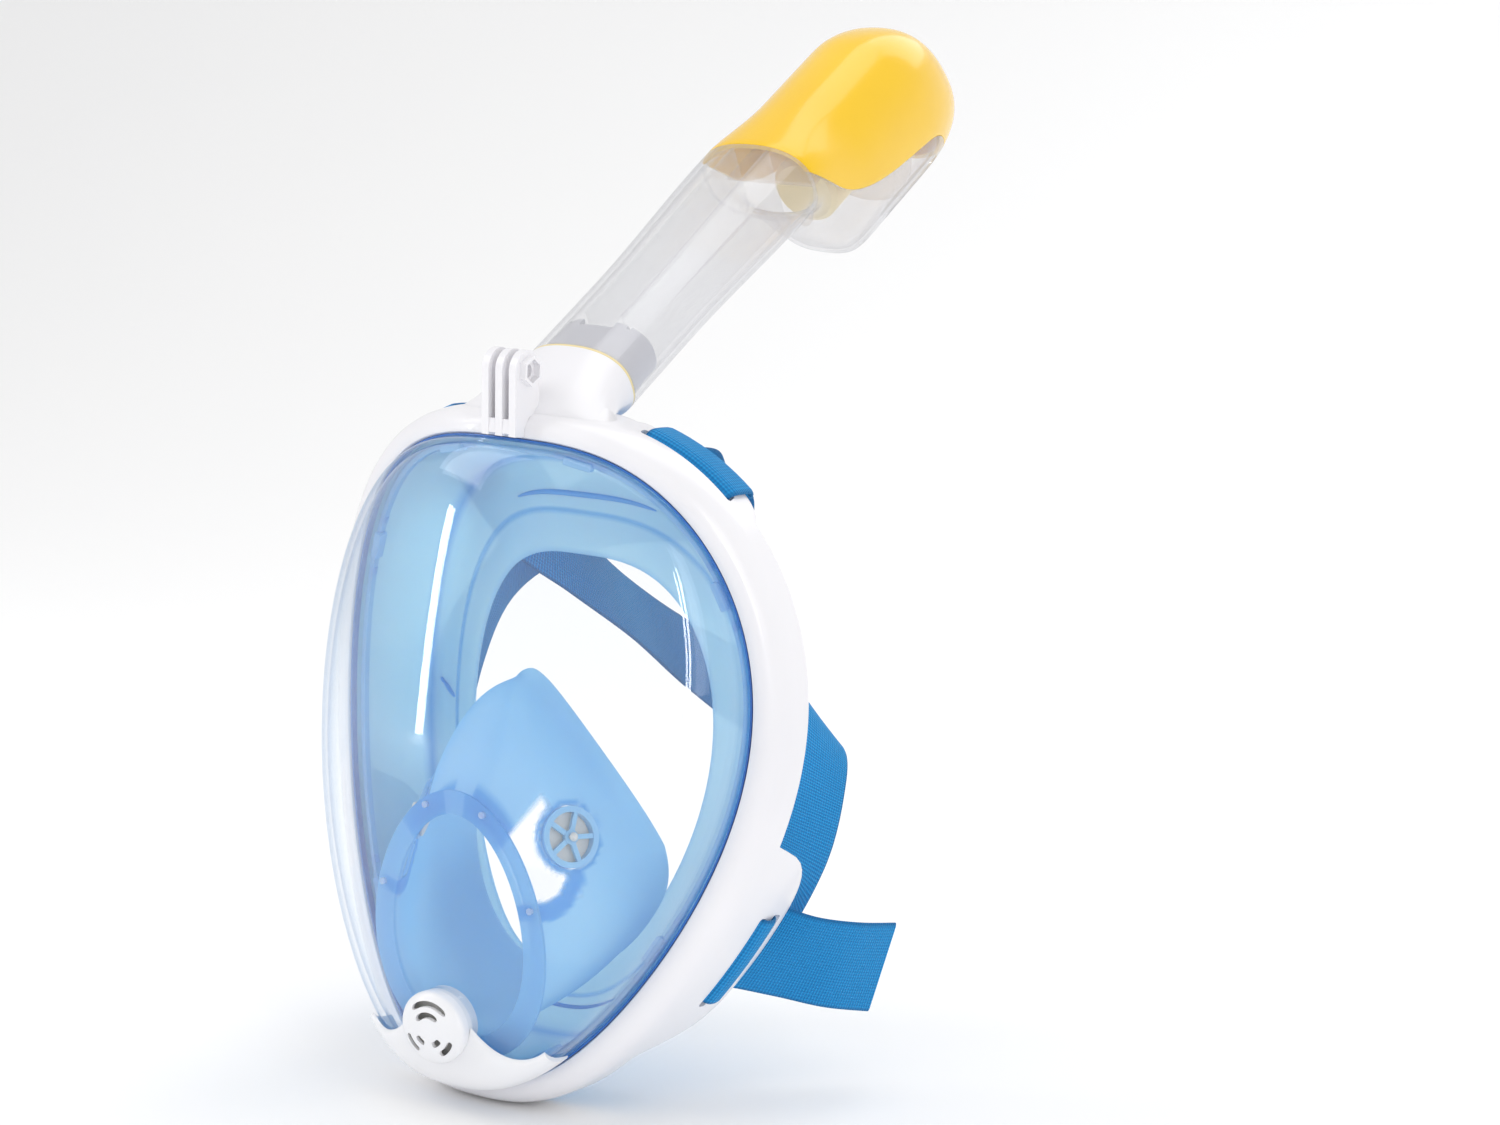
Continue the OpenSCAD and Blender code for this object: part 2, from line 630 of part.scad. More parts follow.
module float_chamber() {
  color([0.93, 0.95, 0.96, 0.35])
  along_snorkel() difference() {
    chamber_shell();
    cap_zone(0.1);
    inlet_slots();
  }
}
module dry_top_cap() {
  color([0.97, 0.81, 0.15])
  along_snorkel() intersection() {
    chamber_shell();
    cap_zone(-0.1);
  }
}
// float seat: plate with the air port, the duct wall beside the float and its guide rod
rod_y = 31.5;
float_y = 21.5;
port_y = 17;
module float_seat() {
  color([0.9, 0.92, 0.94])
  along_snorkel() {
    difference() {
      intersection() {
        translate([-30, -30, 214]) cube([60, 100, 2.4]);
        seat_core();
      }
      translate([0, port_y, 200]) cylinder(r = 6, h = 30, $fn = 48);
      translate([-30, -24, 200]) cube([60, 22, 30]);
    }
    translate([-20, 3, 147]) cube([40, 1.6, 68]);
    translate([0, rod_y, 164]) cylinder(r = 2, h = 50.6, $fn = 32);
    translate([0, rod_y, 163]) cylinder(r = 3.2, h = 2.6, $fn = 32);
  }
}
module seat_core() {
  rows = [for (s = [200, 214, 228]) chamber_row(s, 1, 2.3)];
  solid_rows(rows);
}
module float_block() {
  color([0.97, 0.9, 0.75])
  along_snorkel() difference() {
    translate([0, float_y, 0]) rotate_extrude($fn = 72) polygon([
      [0, 168], [12.5, 168], [14.5, 170], [14.5, 195], [12.5, 197], [0, 197]
    ]);
    translate([0, rod_y, 150]) cylinder(r = 2.08, h = 60, $fn = 32);
  }
}
module float_pad() {
  color([0.35, 0.4, 0.45])
  along_snorkel() translate([0, port_y, 197]) cylinder(r = 8.4, h = 2.4, $fn = 64);
}

// ---------- straps ----------
tail_path = [
  [[101, 63, -82], [-0.25, 0, -0.95]],
  [[94, 44, -79], [-0.35, 0, -0.92]],
  [[83, 28, -75], [-0.45, 0, -0.86]]
];
ear_path = [[6.4, 55.5], [7.6, 49.5], [9.7, 47.2], [11.9, 45.2], [12.4, 43.5], [12.4, 41.5], [11.9, 39.4],
  [10.2, 37.7], [8.2, 37.3], [6.4, 38.2], [5.2, 40], [4.4, 43], [3.8, 50], [4.2, 59]];
right_path = [
  [[77, 26, -58], [-0.3, 0.3, -0.91]],
  [[79, 31, -37], [0.1, 0.9, -0.42]],
  [[78, 40, -10], [0.25, 0.88, -0.4]],
  [[68, 57, 12], [0.35, 0.6, -0.72]],
  [[44, 77, 10], [0.3, 0.2, -0.93]],
  [[12, 87, 13], [0.35, 0, -0.94]],
  [[-14, 80, 27], [0.45, 0, -0.89]],
  [[-30, 62, 46], [0.5, 0, -0.87]],
  [[-42, 42, 66], [0.2, 0, -0.98]],
  [[-49, 20, 84], [-0.35, 0, -0.93]]
];
// the left strap, drawn on the right side and mirrored
left_path = [
  [[80, 26, -57], [-0.3, 0.2, -0.93]],
  [[86, 33, -36], [0, 0.75, -0.66]],
  [[90, 36, -8], [0.1, 0.9, -0.42]],
  [[87, 40, 22], [0.1, 0.86, -0.5]],
  [[74, 48, 52], [0.3, 0.6, -0.74]],
  [[54, 57, 72], [0.35, 0.3, -0.88]],
  [[28, 64, 84], [0.25, 0.1, -0.96]],
  [[0, 62, 90], [0.1, 0, -0.99]],
  [[-28, 44, 92], [-0.15, 0, -0.98]],
  [[-48, 20, 88], [-0.4, 0, -0.9]]
];
tab_path = [[5.0, 42], [5.8, 35], [6.2, 28], [6.5, 24], [7.2, 20.6], [9.2, 18.2], [11.0, 18.4], [12.2, 20.6],
  [12.4, 24], [12.4, 28], [12.1, 31.4], [10.9, 33.8], [9.2, 35]];
function strap_track(w, way) = concat(
  [for (p = tail_path) p[0] + w * unit(p[1])],
  [for (q = ear_path) on_rim(ear_at + w * ear_turn, q[0], q[1])],
  [for (p = way) p[0] + w * unit(p[1])],
  [for (q = tab_path) on_rim(-tab_at - w * tab_turn, q[0], q[1])]
);
function between(a, b, c, d, t) = 0.5 * (2 * b + (c - a) * t + (2 * a - 5 * b + 4 * c - d) * t * t
  + (3 * b - a - 3 * c + d) * t * t * t);
module strap(way) {
  widths = [for (k = [-2 : 2]) k * strap_width / 4];
  middle = strap_track(0, way);
  counts = [for (i = [0 : len(middle) - 2]) norm(middle[i + 1] - middle[i]) > 12 ? 3 : 1];
  tracks = [for (w = widths) let (p = strap_track(w, way), n = len(p)) concat(
    [for (i = [0 : n - 2]) for (k = [0 : counts[i] - 1])
      between(p[max(0, i - 1)], p[i], p[i + 1], p[min(n - 1, i + 2)], k / counts[i])],
    [p[n - 1]])];
  m = len(tracks[0]);
  plate_loft([for (i = [0 : m - 1]) let (
      sheet = [for (k = [0 : 4]) let (
          run = tracks[k][min(m - 1, i + 1)] - tracks[k][max(0, i - 1)],
          side = tracks[min(4, k + 1)][i] - tracks[max(0, k - 1)][i]
        ) [tracks[k][i], unit(cross(side, run)) * strap_thickness / 2]]
    ) concat([for (q = sheet) q[0] + q[1]], [for (k = [4 : -1 : 0]) sheet[k][0] - sheet[k][1]])]);
}
module strap_right() {
  color([0.05, 0.45, 0.72]) strap(right_path);
}
module strap_left() {
  color([0.05, 0.45, 0.72]) mirror([1, 0, 0]) strap(left_path);
}

frame_shell();
visor_lens();
lens_seal();
clip_ring();
face_skirt();
nose_pocket();
pocket_rivets();
inhale_seat_right();
inhale_seat_left();
inhale_flap_right();
inhale_flap_left();
drain_seat();
drain_membrane();
drain_cover();
camera_mount();
spigot();
spigot_seal();
snorkel_tube();
float_chamber();
dry_top_cap();
float_seat();
float_block();
float_pad();
strap_right();
strap_left();
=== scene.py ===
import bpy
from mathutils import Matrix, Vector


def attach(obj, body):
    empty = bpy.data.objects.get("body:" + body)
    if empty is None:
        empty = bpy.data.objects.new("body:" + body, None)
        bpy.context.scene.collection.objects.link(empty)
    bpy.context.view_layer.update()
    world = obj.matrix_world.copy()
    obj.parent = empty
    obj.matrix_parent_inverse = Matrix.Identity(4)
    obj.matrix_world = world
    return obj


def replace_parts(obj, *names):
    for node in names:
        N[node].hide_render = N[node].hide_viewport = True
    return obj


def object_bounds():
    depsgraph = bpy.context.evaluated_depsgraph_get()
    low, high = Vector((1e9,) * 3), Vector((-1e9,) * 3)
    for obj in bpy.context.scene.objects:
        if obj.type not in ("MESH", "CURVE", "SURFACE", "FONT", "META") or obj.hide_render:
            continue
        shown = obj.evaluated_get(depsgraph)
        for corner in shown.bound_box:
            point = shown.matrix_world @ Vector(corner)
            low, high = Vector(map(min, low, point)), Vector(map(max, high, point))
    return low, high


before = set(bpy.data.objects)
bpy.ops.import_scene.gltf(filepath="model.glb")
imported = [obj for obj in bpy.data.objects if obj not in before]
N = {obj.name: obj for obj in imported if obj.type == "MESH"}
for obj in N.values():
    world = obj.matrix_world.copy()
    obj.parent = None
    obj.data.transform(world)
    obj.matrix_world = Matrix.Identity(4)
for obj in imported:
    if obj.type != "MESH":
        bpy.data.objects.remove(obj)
cad_box = [list(v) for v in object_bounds()]

import math

import bpy
import bmesh
import numpy as np
from mathutils import Matrix, Vector

MM = 0.001

# ---------------------------------------------------------------- mask geometry, in mm
OPEN_W, OPEN_H, EGG, FLAT = 89.0, 118.5, 0.187, 0.14
SETBACK, BULGE, EDGE, WALL = 55.0, 31.0, 6.0, 2.0
TILT, ROUND_X, ROUND_Z = 0.05, 140.0, 700.0
# rim angles of the strap slots, and how far one mm across a strap turns round the rim
EAR, TAB, EAR_TURN, TAB_TURN = 119.0, 35.0, 0.418, 0.505
SEAT_DEPTH = 2.2  # from the rim curve back to the lens flange's seat
FACE_W, FACE_H, FACE_MID = 54.0, 79.0, -7.0  # half sizes and middle height of the skirt's opening
MOUTH_W, MOUTH_H, MOUTH_MID = 30.5, 44.0, -60.0  # the same for the pocket's opening on the lens
TUBE_A, TUBE_B = 23.3, 15.6  # half width and half depth of the snorkel's foot
STRAP_W, STRAP_T = 38.0, 1.6


def sgn(v):
    return -1.0 if v < 0 else 1.0


def fcos(s):
    c, d = math.cos(math.radians(s)), math.sin(math.radians(s))
    return sgn(c) * math.sqrt(max(0.0, 1 - abs(d) ** 3))


def rim_x(s):
    f = fcos(s)
    return OPEN_W * math.sin(math.radians(s)) * (1 + EGG * f - FLAT * f * f)


def rim_z(s):
    return OPEN_H * fcos(s)


def rim_y(x, z):
    return -SETBACK + 0.0033 * x * x - 0.0004 * z * z


def rim_out(s):
    a, b = rim_x(s + 1) - rim_x(s - 1), rim_z(s + 1) - rim_z(s - 1)
    r = math.hypot(a, b)
    return -b / r, a / r


def rim_flat(s, o):
    n = rim_out(s)
    return rim_x(s) + o * n[0], rim_z(s) + o * n[1]


def on_rim(s, o, d):
    q = rim_flat(s, o)
    return np.array([q[0], rim_y(rim_x(s), rim_z(s)) + d, q[1]])


def lens_face(x, z):
    return -SETBACK - BULGE + TILT * z + x * x / (2 * ROUND_X) + z * z / (2 * ROUND_Z)


def superside(u):
    return max(0.0, 1 - max(0.0, u) ** EDGE) ** (1 / EDGE)


def lens_at(s, u, w, o, ahead, seat):
    q = rim_flat(s, o)
    x, z = u * q[0], u * q[1]
    drop = rim_y(rim_x(s), rim_z(s)) + seat - lens_face(q[0], q[1]) + ahead
    return np.array([x, lens_face(x, z) - ahead + drop * (1 - w), z])


def find_s(x, z):
    low, high = 0.0, 180.0
    for _ in range(22):
        m = (low + high) / 2
        if rim_x(m) * z > rim_z(m) * x:
            low = m
        else:
            high = m
    return (low + high) / 2


def back_of_lens(x, z):
    s = find_s(abs(x), z)
    q = rim_flat(s, -0.4 - WALL)
    u = min(math.hypot(x, z) / math.hypot(*q), 0.999)
    return lens_at(s, u, superside(u), -0.4 - WALL, -WALL, 2.2 + WALL)[1]


def bump(v, mid, half, top):
    q = (abs(v) - mid) / half
    return 0.0 if abs(q) >= 1 else top * (1 - q**6)


def soft(v, a, b):
    t = min(1.0, max(0.0, (v - a) / (b - a)))
    return t * t * (3 - 2 * t)


def unit(v):
    v = np.asarray(v, float)
    return v / np.linalg.norm(v)


# axes of the chin valve
CHIN_TILT, CHIN_HOLE = math.radians(98), 13.2
CHIN = np.array([0, -83.1518, -95.0])
CHIN_UP = np.array([0, math.cos(CHIN_TILT), math.sin(CHIN_TILT)])
CHIN_AX = np.array([0, -math.sin(CHIN_TILT), math.cos(CHIN_TILT)])


def at_chin(x, y, z):
    """x to the side, y up the lens, z outwards."""
    return CHIN + x * np.array([1.0, 0, 0]) + y * CHIN_UP + z * CHIN_AX


# axes of the snorkel
LEAN = math.radians(58)
BASE = np.array([0, -16.4, 138.4])
ALONG = np.array([0, math.sin(LEAN), math.cos(LEAN)])
BACK = np.array([0, math.cos(LEAN), -math.sin(LEAN)])


def snork(x, y, s):
    return BASE + np.array([x, 0, 0]) + y * BACK + s * ALONG


# ---------------------------------------------------------------- mesh helpers
def make(name, verts, faces, smooth=True):
    me = bpy.data.meshes.new(name)
    me.from_pydata([[c * MM for c in v] for v in verts], [], [list(map(int, f)) for f in faces])
    me.validate()
    if smooth:
        me.polygons.foreach_set("use_smooth", [True] * len(me.polygons))
    ob = bpy.data.objects.new(name, me)
    bpy.context.scene.collection.objects.link(ob)
    fix_normals(ob)
    return ob


def fix_normals(ob):
    bm = bmesh.new()
    bm.from_mesh(ob.data)
    bmesh.ops.recalc_face_normals(bm, faces=bm.faces)
    bm.to_mesh(ob.data)
    bm.free()
    ob.data.update()


def grid(rows, loop_u=False, loop_v=False):
    """rows[i][j]; loop_u joins the last row to the first, loop_v the last point to the first."""
    n, m = len(rows), len(rows[0])
    verts = [p for r in rows for p in r]
    faces = []
    for i in range(n if loop_u else n - 1):
        for j in range(m if loop_v else m - 1):
            a, b = i * m, ((i + 1) % n) * m
            k = (j + 1) % m
            faces.append((a + j, a + k, b + k, b + j))
    return verts, faces


def prism(name, low, high):
    """A closed solid between two outlines of the same length."""
    n = len(low)
    verts, faces = grid([low, high], loop_v=True)
    return make(name, verts, faces + [list(range(n)), list(range(n, 2 * n))], smooth=False)


def end_faces(n, m):
    """Closes both ends of a flat band: n loops of m points, out along one skin and back along the other."""
    faces = []
    for e in (0, (n - 1) * m):
        for j in range(m // 2 - 1):
            k = m - 1 - j
            faces.append((e + j, e + k, e + k - 1, e + j + 1))
    return faces


def turns(n):
    """n angles round a circle."""
    return np.linspace(0, 2 * math.pi, n + 1)[:-1]


def settle(ob):
    """Applies the object's modifiers to its mesh."""
    deps = bpy.context.evaluated_depsgraph_get()
    me = bpy.data.meshes.new_from_object(ob.evaluated_get(deps))
    old = ob.data
    ob.modifiers.clear()
    ob.data = me
    bpy.data.meshes.remove(old)
    return ob


def sharpen(ob, angle):
    me = ob.data
    me.polygons.foreach_set("use_smooth", [True] * len(me.polygons))
    me.set_sharp_from_angle(angle=math.radians(angle))


def cut(ob, cutters, operation="DIFFERENCE"):
    for c in cutters:
        m = ob.modifiers.new("cut", "BOOLEAN")
        m.operation, m.solver, m.object = operation, "EXACT", c
    settle(ob)
    for c in cutters:
        me = c.data
        bpy.data.objects.remove(c)
        bpy.data.meshes.remove(me)
    return ob


def join(name, parts):
    """Joins meshes, keeping their materials, into one object."""
    mats = []
    bm = bmesh.new()
    for p in parts:
        start = len(bm.faces)
        bm.from_mesh(p.data)
        bm.faces.ensure_lookup_table()
        own = list(p.data.materials) or [None]
        for m in own:
            if m not in mats:
                mats.append(m)
        for f in bm.faces[start:]:
            f.material_index = mats.index(own[min(f.material_index, len(own) - 1)])
    me = bpy.data.meshes.new(name)
    bm.to_mesh(me)
    bm.free()
    for m in mats:
        me.materials.append(m)
    ob = bpy.data.objects.new(name, me)
    bpy.context.scene.collection.objects.link(ob)
    for p in parts:
        old = p.data
        bpy.data.objects.remove(p)
        bpy.data.meshes.remove(old)
    return ob


def bevel(ob, width, angle=35, segments=2):
    m = ob.modifiers.new("edge", "BEVEL")
    m.width, m.segments, m.limit_method = width * MM, segments, "ANGLE"
    m.angle_limit = math.radians(angle)
    m.harden_normals = False
    return ob


def box_mesh(name, size, frame_axes, at, round_by=1.2):
    """A box with rounded edges: size along its own axes, frame_axes rows are those axes."""
    bm = bmesh.new()
    bmesh.ops.create_cube(bm, size=1.0)
    for v in bm.verts:
        v.co = Vector([v.co[k] * size[k] for k in range(3)])
    if round_by:
        bmesh.ops.bevel(bm, geom=list(bm.edges), offset=round_by, segments=4, profile=0.5, affect="EDGES")
    a = np.array(frame_axes, float)
    for v in bm.verts:
        c = np.array(v.co)
        v.co = Vector((np.array(at) + c[0] * a[0] + c[1] * a[1] + c[2] * a[2]) * MM)
    me = bpy.data.meshes.new(name)
    bm.to_mesh(me)
    bm.free()
    ob = bpy.data.objects.new(name, me)
    bpy.context.scene.collection.objects.link(ob)
    fix_normals(ob)
    return ob


def rim_axes(s, o, d):
    p = on_rim(s, o, d)
    n = rim_out(s)
    run = unit(on_rim(s + 9, o, d) - on_rim(s - 9, o, d))
    out = np.array([n[0], 0, n[1]])
    out = unit(out - run * (run @ out))
    return p, [run, np.cross(out, run), out]


def attribute(ob, name, values):
    a = ob.data.attributes.new(name, "FLOAT", "POINT")
    a.data.foreach_set("value", [float(v) for v in values])


def curve_through(points, counts):
    """Catmull-Rom through points, with counts[i] steps from point i to the next."""
    p = [np.asarray(q, float) for q in points]
    last = len(p) - 1
    out = []
    for i, steps in enumerate(counts):
        a, b, c, d = p[max(0, i - 1)], p[i], p[i + 1], p[min(last, i + 2)]
        for k in range(steps):
            t = k / steps
            out.append(0.5 * (2 * b + (c - a) * t + (2 * a - 5 * b + 4 * c - d) * t * t
                              + (3 * b - a - 3 * c + d) * t**3))
    out.append(p[-1])
    return out


# ---------------------------------------------------------------- materials
class Nodes:
    def __init__(self, name):
        self.m = bpy.data.materials.new(name)
        self.m.use_nodes = True
        self.t = self.m.node_tree
        self.t.nodes.clear()
        self.out = self.t.nodes.new("ShaderNodeOutputMaterial")

    def new(self, kind, **inputs):
        n = self.t.nodes.new("ShaderNode" + kind)
        for k, v in inputs.items():
            k = k.replace("_", " ")
            if k in n.inputs:
                self.put(n.inputs[k], v)
            else:
                setattr(n, k.replace(" ", "_"), v)
        return n

    def put(self, socket, v):
        if isinstance(v, bpy.types.NodeSocket):
            self.t.links.new(v, socket)
        else:
            socket.default_value = v

    def math(self, op, a, b=0.0, clamp=False):
        n = self.t.nodes.new("ShaderNodeMath")
        n.operation, n.use_clamp = op, clamp
        self.put(n.inputs[0], a)
        self.put(n.inputs[1], b)
        return n.outputs[0]

    def mix(self, fac, a, b):
        n = self.t.nodes.new("ShaderNodeMix")
        n.data_type = "RGBA"
        self.put(n.inputs[0], fac)
        self.put(n.inputs[6], a)
        self.put(n.inputs[7], b)
        return n.outputs[2]

    def blend(self, fac, a, b):
        n = self.t.nodes.new("ShaderNodeMixShader")
        self.put(n.inputs[0], fac)
        self.put(n.inputs[1], a)
        self.put(n.inputs[2], b)
        return n.outputs[0]

    def ramp(self, fac, stops):
        n = self.t.nodes.new("ShaderNodeValToRGB")
        e = n.color_ramp.elements
        while len(e) < len(stops):
            e.new(0.5)
        for k, (at, c) in enumerate(stops):
            e[k].position = at
            e[k].color = c if len(c) == 4 else (*c, 1)
        self.put(n.inputs[0], fac)
        return n.outputs[0]

    def noise(self, scale, detail=3.0, rough=0.5, vector=None):
        n = self.t.nodes.new("ShaderNodeTexNoise")
        n.inputs["Scale"].default_value = scale
        n.inputs["Detail"].default_value = detail
        n.inputs["Roughness"].default_value = rough
        self.put(n.inputs["Vector"], vector if vector is not None else self.place())
        return n.outputs[0]

    def place(self):
        if not hasattr(self, "_co"):
            self._co = self.t.nodes.new("ShaderNodeTexCoord")
        return self._co.outputs["Object"]

    def uv(self):
        self.place()
        return self._co.outputs["UV"]

    def attr(self, name):
        n = self.t.nodes.new("ShaderNodeAttribute")
        n.attribute_name = name
        return n.outputs["Fac"]

    def bump(self, height, strength, distance=0.0005, normal=None):
        n = self.t.nodes.new("ShaderNodeBump")
        n.inputs["Strength"].default_value = strength
        n.inputs["Distance"].default_value = distance
        self.put(n.inputs["Height"], height)
        if normal is not None:
            self.put(n.inputs["Normal"], normal)
        return n.outputs[0]

    def end(self, shader):
        self.t.links.new(shader, self.out.inputs["Surface"])
        return self.m


def rgb(h):
    """Linear colour from an sRGB hex string."""
    c = [int(h[i : i + 2], 16) / 255 for i in (0, 2, 4)]
    return tuple(v / 12.92 if v < 0.04045 else ((v + 0.055) / 1.055) ** 2.4 for v in c) + (1.0,)


def plastic(name, base, other, rough=0.25, coat=0.3, grain=0.05, sss=0.0, scale=900.0):
    k = Nodes(name)
    cloud = k.noise(14.0, 3.0)
    colour = k.mix(k.ramp(cloud, [(0.3, (0, 0, 0)), (0.75, (1, 1, 1))]), base, other)
    fine = k.noise(scale, 4.0, 0.6)
    r = k.math("ADD", k.math("MULTIPLY", k.noise(60.0, 4.0, 0.6), 0.05), rough - 0.02)
    p = k.new("BsdfPrincipled", Base_Color=colour, Roughness=r, IOR=1.5,
              Normal=k.bump(fine, grain, 0.0002))
    p.inputs["Coat Weight"].default_value = coat
    p.inputs["Coat Roughness"].default_value = 0.08
    if sss:
        p.inputs["Subsurface Weight"].default_value = sss
        p.inputs["Subsurface Radius"].default_value = (1.0, 0.9, 0.8)
        p.inputs["Subsurface Scale"].default_value = 0.003
    return k.end(p.outputs[0])


def shine(k, ior=1.46, power=5.0):
    """Mirror share of a clear surface, the same from both of its sides."""
    facing = k.new("LayerWeight", Blend=0.5).outputs["Facing"]
    least = ((ior - 1) / (ior + 1)) ** 2
    return k.math("ADD", k.math("MULTIPLY", k.math("POWER", facing, power), 1 - least), least, True)


def clear(name, tint, edge, rough=0.02, body=0.06, haze=None, ior=1.46, most=0.55, power=5.0):
    """Clear moulded plastic: tinted transparency that turns to the darker edge colour at glancing angles as
    painted outline shade, a faint body colour and a shine at glancing angles.
    """
    k = Nodes(name)
    face = k.new("LayerWeight", Blend=0.5).outputs["Facing"]
    # painted shade: the see-through colour turns to the darker edge colour at glancing angles, standing in for
    # the outlines that refraction gives
    colour = k.ramp(face, [(0.0, tint), (0.62, tint), (0.98, edge)])
    through = k.new("BsdfTransparent", Color=colour).outputs[0]
    r = k.math("ADD", k.math("MULTIPLY", k.noise(45.0, 4.0, 0.6), 0.03), rough)
    solid = k.new("BsdfPrincipled", Base_Color=haze or (0.86, 0.93, 1.0, 1), Roughness=0.3).outputs[0]
    weight = k.math("ADD", k.math("MULTIPLY", k.noise(22.0, 3.0), 0.03), body - 0.015, True)
    gloss = k.new("BsdfGlossy", Roughness=r, Color=(1, 1, 1, 1)).outputs[0]
    return k.end(k.blend(k.math("MINIMUM", shine(k, ior, power), most), k.blend(weight, through, solid), gloss))


def silicone(name, light, deep, see, rough=0.33, window=False, band=False):
    """Soft see-through silicone; the mesh's band attribute darkens it, a real darker band on the pocket and
    painted fold shade on the skirt, and its window attribute clears it.
    """
    k = Nodes(name)
    cloud = k.ramp(k.noise(11.0, 3.0), [(0.3, (0, 0, 0)), (0.72, (1, 1, 1))])
    facing = k.new("LayerWeight", Blend=0.42).outputs["Facing"]
    colour = k.mix(k.math("MULTIPLY", cloud, 0.35), light, deep)
    colour = k.mix(k.ramp(facing, [(0.45, (0, 0, 0)), (1.0, (0.75, 0.75, 0.75))]), colour, deep)
    # band: a real darker blue band on the pocket, and painted shade along the folds and lip step of the skirt
    if band:
        colour = k.mix(k.math("MULTIPLY", k.attr("band"), 0.85, True), colour, rgb("52B2F0"))
    fine = k.noise(1100.0, 3.0, 0.6)
    wide = k.noise(70.0, 3.0)
    r = k.math("ADD", k.math("MULTIPLY", wide, 0.16), rough - 0.06)
    n = k.bump(wide, 0.08, 0.0008, k.bump(fine, 0.12, 0.0002))
    p = k.new("BsdfPrincipled", Base_Color=colour, Roughness=r, IOR=1.41, Normal=n)
    p.inputs["Subsurface Weight"].default_value = 0.45
    p.inputs["Subsurface Radius"].default_value = (0.55, 0.85, 1.0)
    p.inputs["Subsurface Scale"].default_value = 0.006
    glow = k.new("BsdfTranslucent", Color=colour).outputs[0]
    through = k.new("BsdfTransparent", Color=k.mix(0.5, colour, (0.94, 0.98, 1, 1))).outputs[0]
    skin = k.blend(see, k.blend(0.42, p.outputs[0], glow), through)
    if window:
        pane = k.new("BsdfTransparent", Color=(0.965, 0.97, 1.0, 1)).outputs[0]
        gloss = k.new("BsdfGlossy", Roughness=0.08, Color=(1, 1, 1, 1)).outputs[0]
        skin = k.blend(k.attr("window"), skin, k.blend(k.math("MINIMUM", shine(k, 1.4), 0.5), pane, gloss))
    return k.end(skin)


def webbing(name):
    """Woven elastic: uv is in mm, u across and v along the strap; the loops attribute is the fuzzy patch."""
    k = Nodes(name)
    sep = k.new("SeparateXYZ", Vector=k.uv())
    u, v = sep.outputs[0], sep.outputs[1]
    across = k.math("SINE", k.math("MULTIPLY", v, 2 * math.pi / 1.15))
    wob = k.math("MULTIPLY", k.noise(350.0, 2.0), 1.4)
    along = k.math("SINE", k.math("ADD", k.math("MULTIPLY", u, 2 * math.pi / 1.3), wob))
    weave = k.math("ADD", k.math("MULTIPLY", across, 0.62), k.math("MULTIPLY", along, 0.38))
    h = k.math("ADD", k.math("MULTIPLY", weave, 0.5), 0.5)
    # painted shade and highlight: the weave's colour runs from dark in its hollows to light on its raised
    # threads, following the bump's height
    colour = k.ramp(h, [(0.0, rgb("066BAA")), (0.5, rgb("0585CC")), (1.0, rgb("2BA3E0"))])
    cloud = k.noise(9.0, 3.0)
    colour = k.mix(k.ramp(cloud, [(0.35, (0, 0, 0)), (0.8, (0.6, 0.6, 0.6))]), colour, rgb("0878B8"))
    # selvedge: the outer 1.5 mm each side are tighter and darker
    edge = k.math("MULTIPLY", k.math("SUBTRACT", k.math("ABSOLUTE", u), 17.4), 0.9, True)
    colour = k.mix(edge, colour, rgb("0768A4"))
    patch = k.attr("loops")
    fuzz = k.noise(900.0, 5.0, 0.75)
    # the loop patch's grey is its own colour; its lighter and darker fibres follow the fuzz bump's height,
    # partly painted shade
    grey = k.ramp(fuzz, [(0.32, rgb("5F6F9A")), (0.5, rgb("8E9CBE")), (0.72, rgb("C3CBE0"))])
    colour = k.mix(patch, colour, grey)
    h = k.math("ADD", h, k.math("MULTIPLY", k.math("MULTIPLY", fuzz, patch), 3.0))
    p = k.new("BsdfPrincipled", Base_Color=colour, Roughness=k.math("ADD", k.math("MULTIPLY", h, 0.15), 0.62),
              Normal=k.bump(h, 0.75, 0.0006))
    p.inputs["Sheen Weight"].default_value = 0.35
    p.inputs["Sheen Roughness"].default_value = 0.4
    p.inputs["Sheen Tint"].default_value = rgb("6FC0EA")
    p.inputs["Specular IOR Level"].default_value = 0.35
    return k.end(p.outputs[0])


WHITE = plastic("white_gloss", rgb("EDECEF"), rgb("E6E5E9"), rough=0.3, coat=0.3, grain=0.03, sss=0.06)
WHITE2 = plastic("white_cover", rgb("F1F1F3"), rgb("E9E9EC"), rough=0.32, coat=0.2, grain=0.03, sss=0.06)
YELLOW = plastic("yellow_gloss", rgb("F4C602"), rgb("EEBE00"), rough=0.22, coat=0.4, sss=0.05)
GREY = plastic("grey_spigot", rgb("CFCFD6"), rgb("BFC0C8"), rough=0.36, coat=0.1)
CREAM = plastic("cream_rubber", rgb("F1E3B4"), rgb("E4CF92"), rough=0.42, coat=0.0, grain=0.2)
FOAM = plastic("float_foam", rgb("F4E3B4"), rgb("EBD390"), rough=0.5, coat=0.0, grain=0.5, scale=500.0)
PAD = plastic("pad_rubber", rgb("9AA0A8"), rgb("868C95"), rough=0.5, coat=0.0, grain=0.3)
VALVE = plastic("valve_blue", rgb("8FC4EA"), rgb("7FB8E4"), rough=0.34, coat=0.15, sss=0.3)
DARKSEAL = plastic("seal_blue", rgb("2E6FC0"), rgb("1F59A8"), rough=0.3, coat=0.3)
FLAP = plastic("flap_grey", rgb("D9D6D0"), rgb("CBC9C6"), rough=0.45, coat=0.0, sss=0.3)
DRAIN = plastic("drain_plastic", rgb("E8EAEE"), rgb("DADDE3"), rough=0.35, coat=0.1)
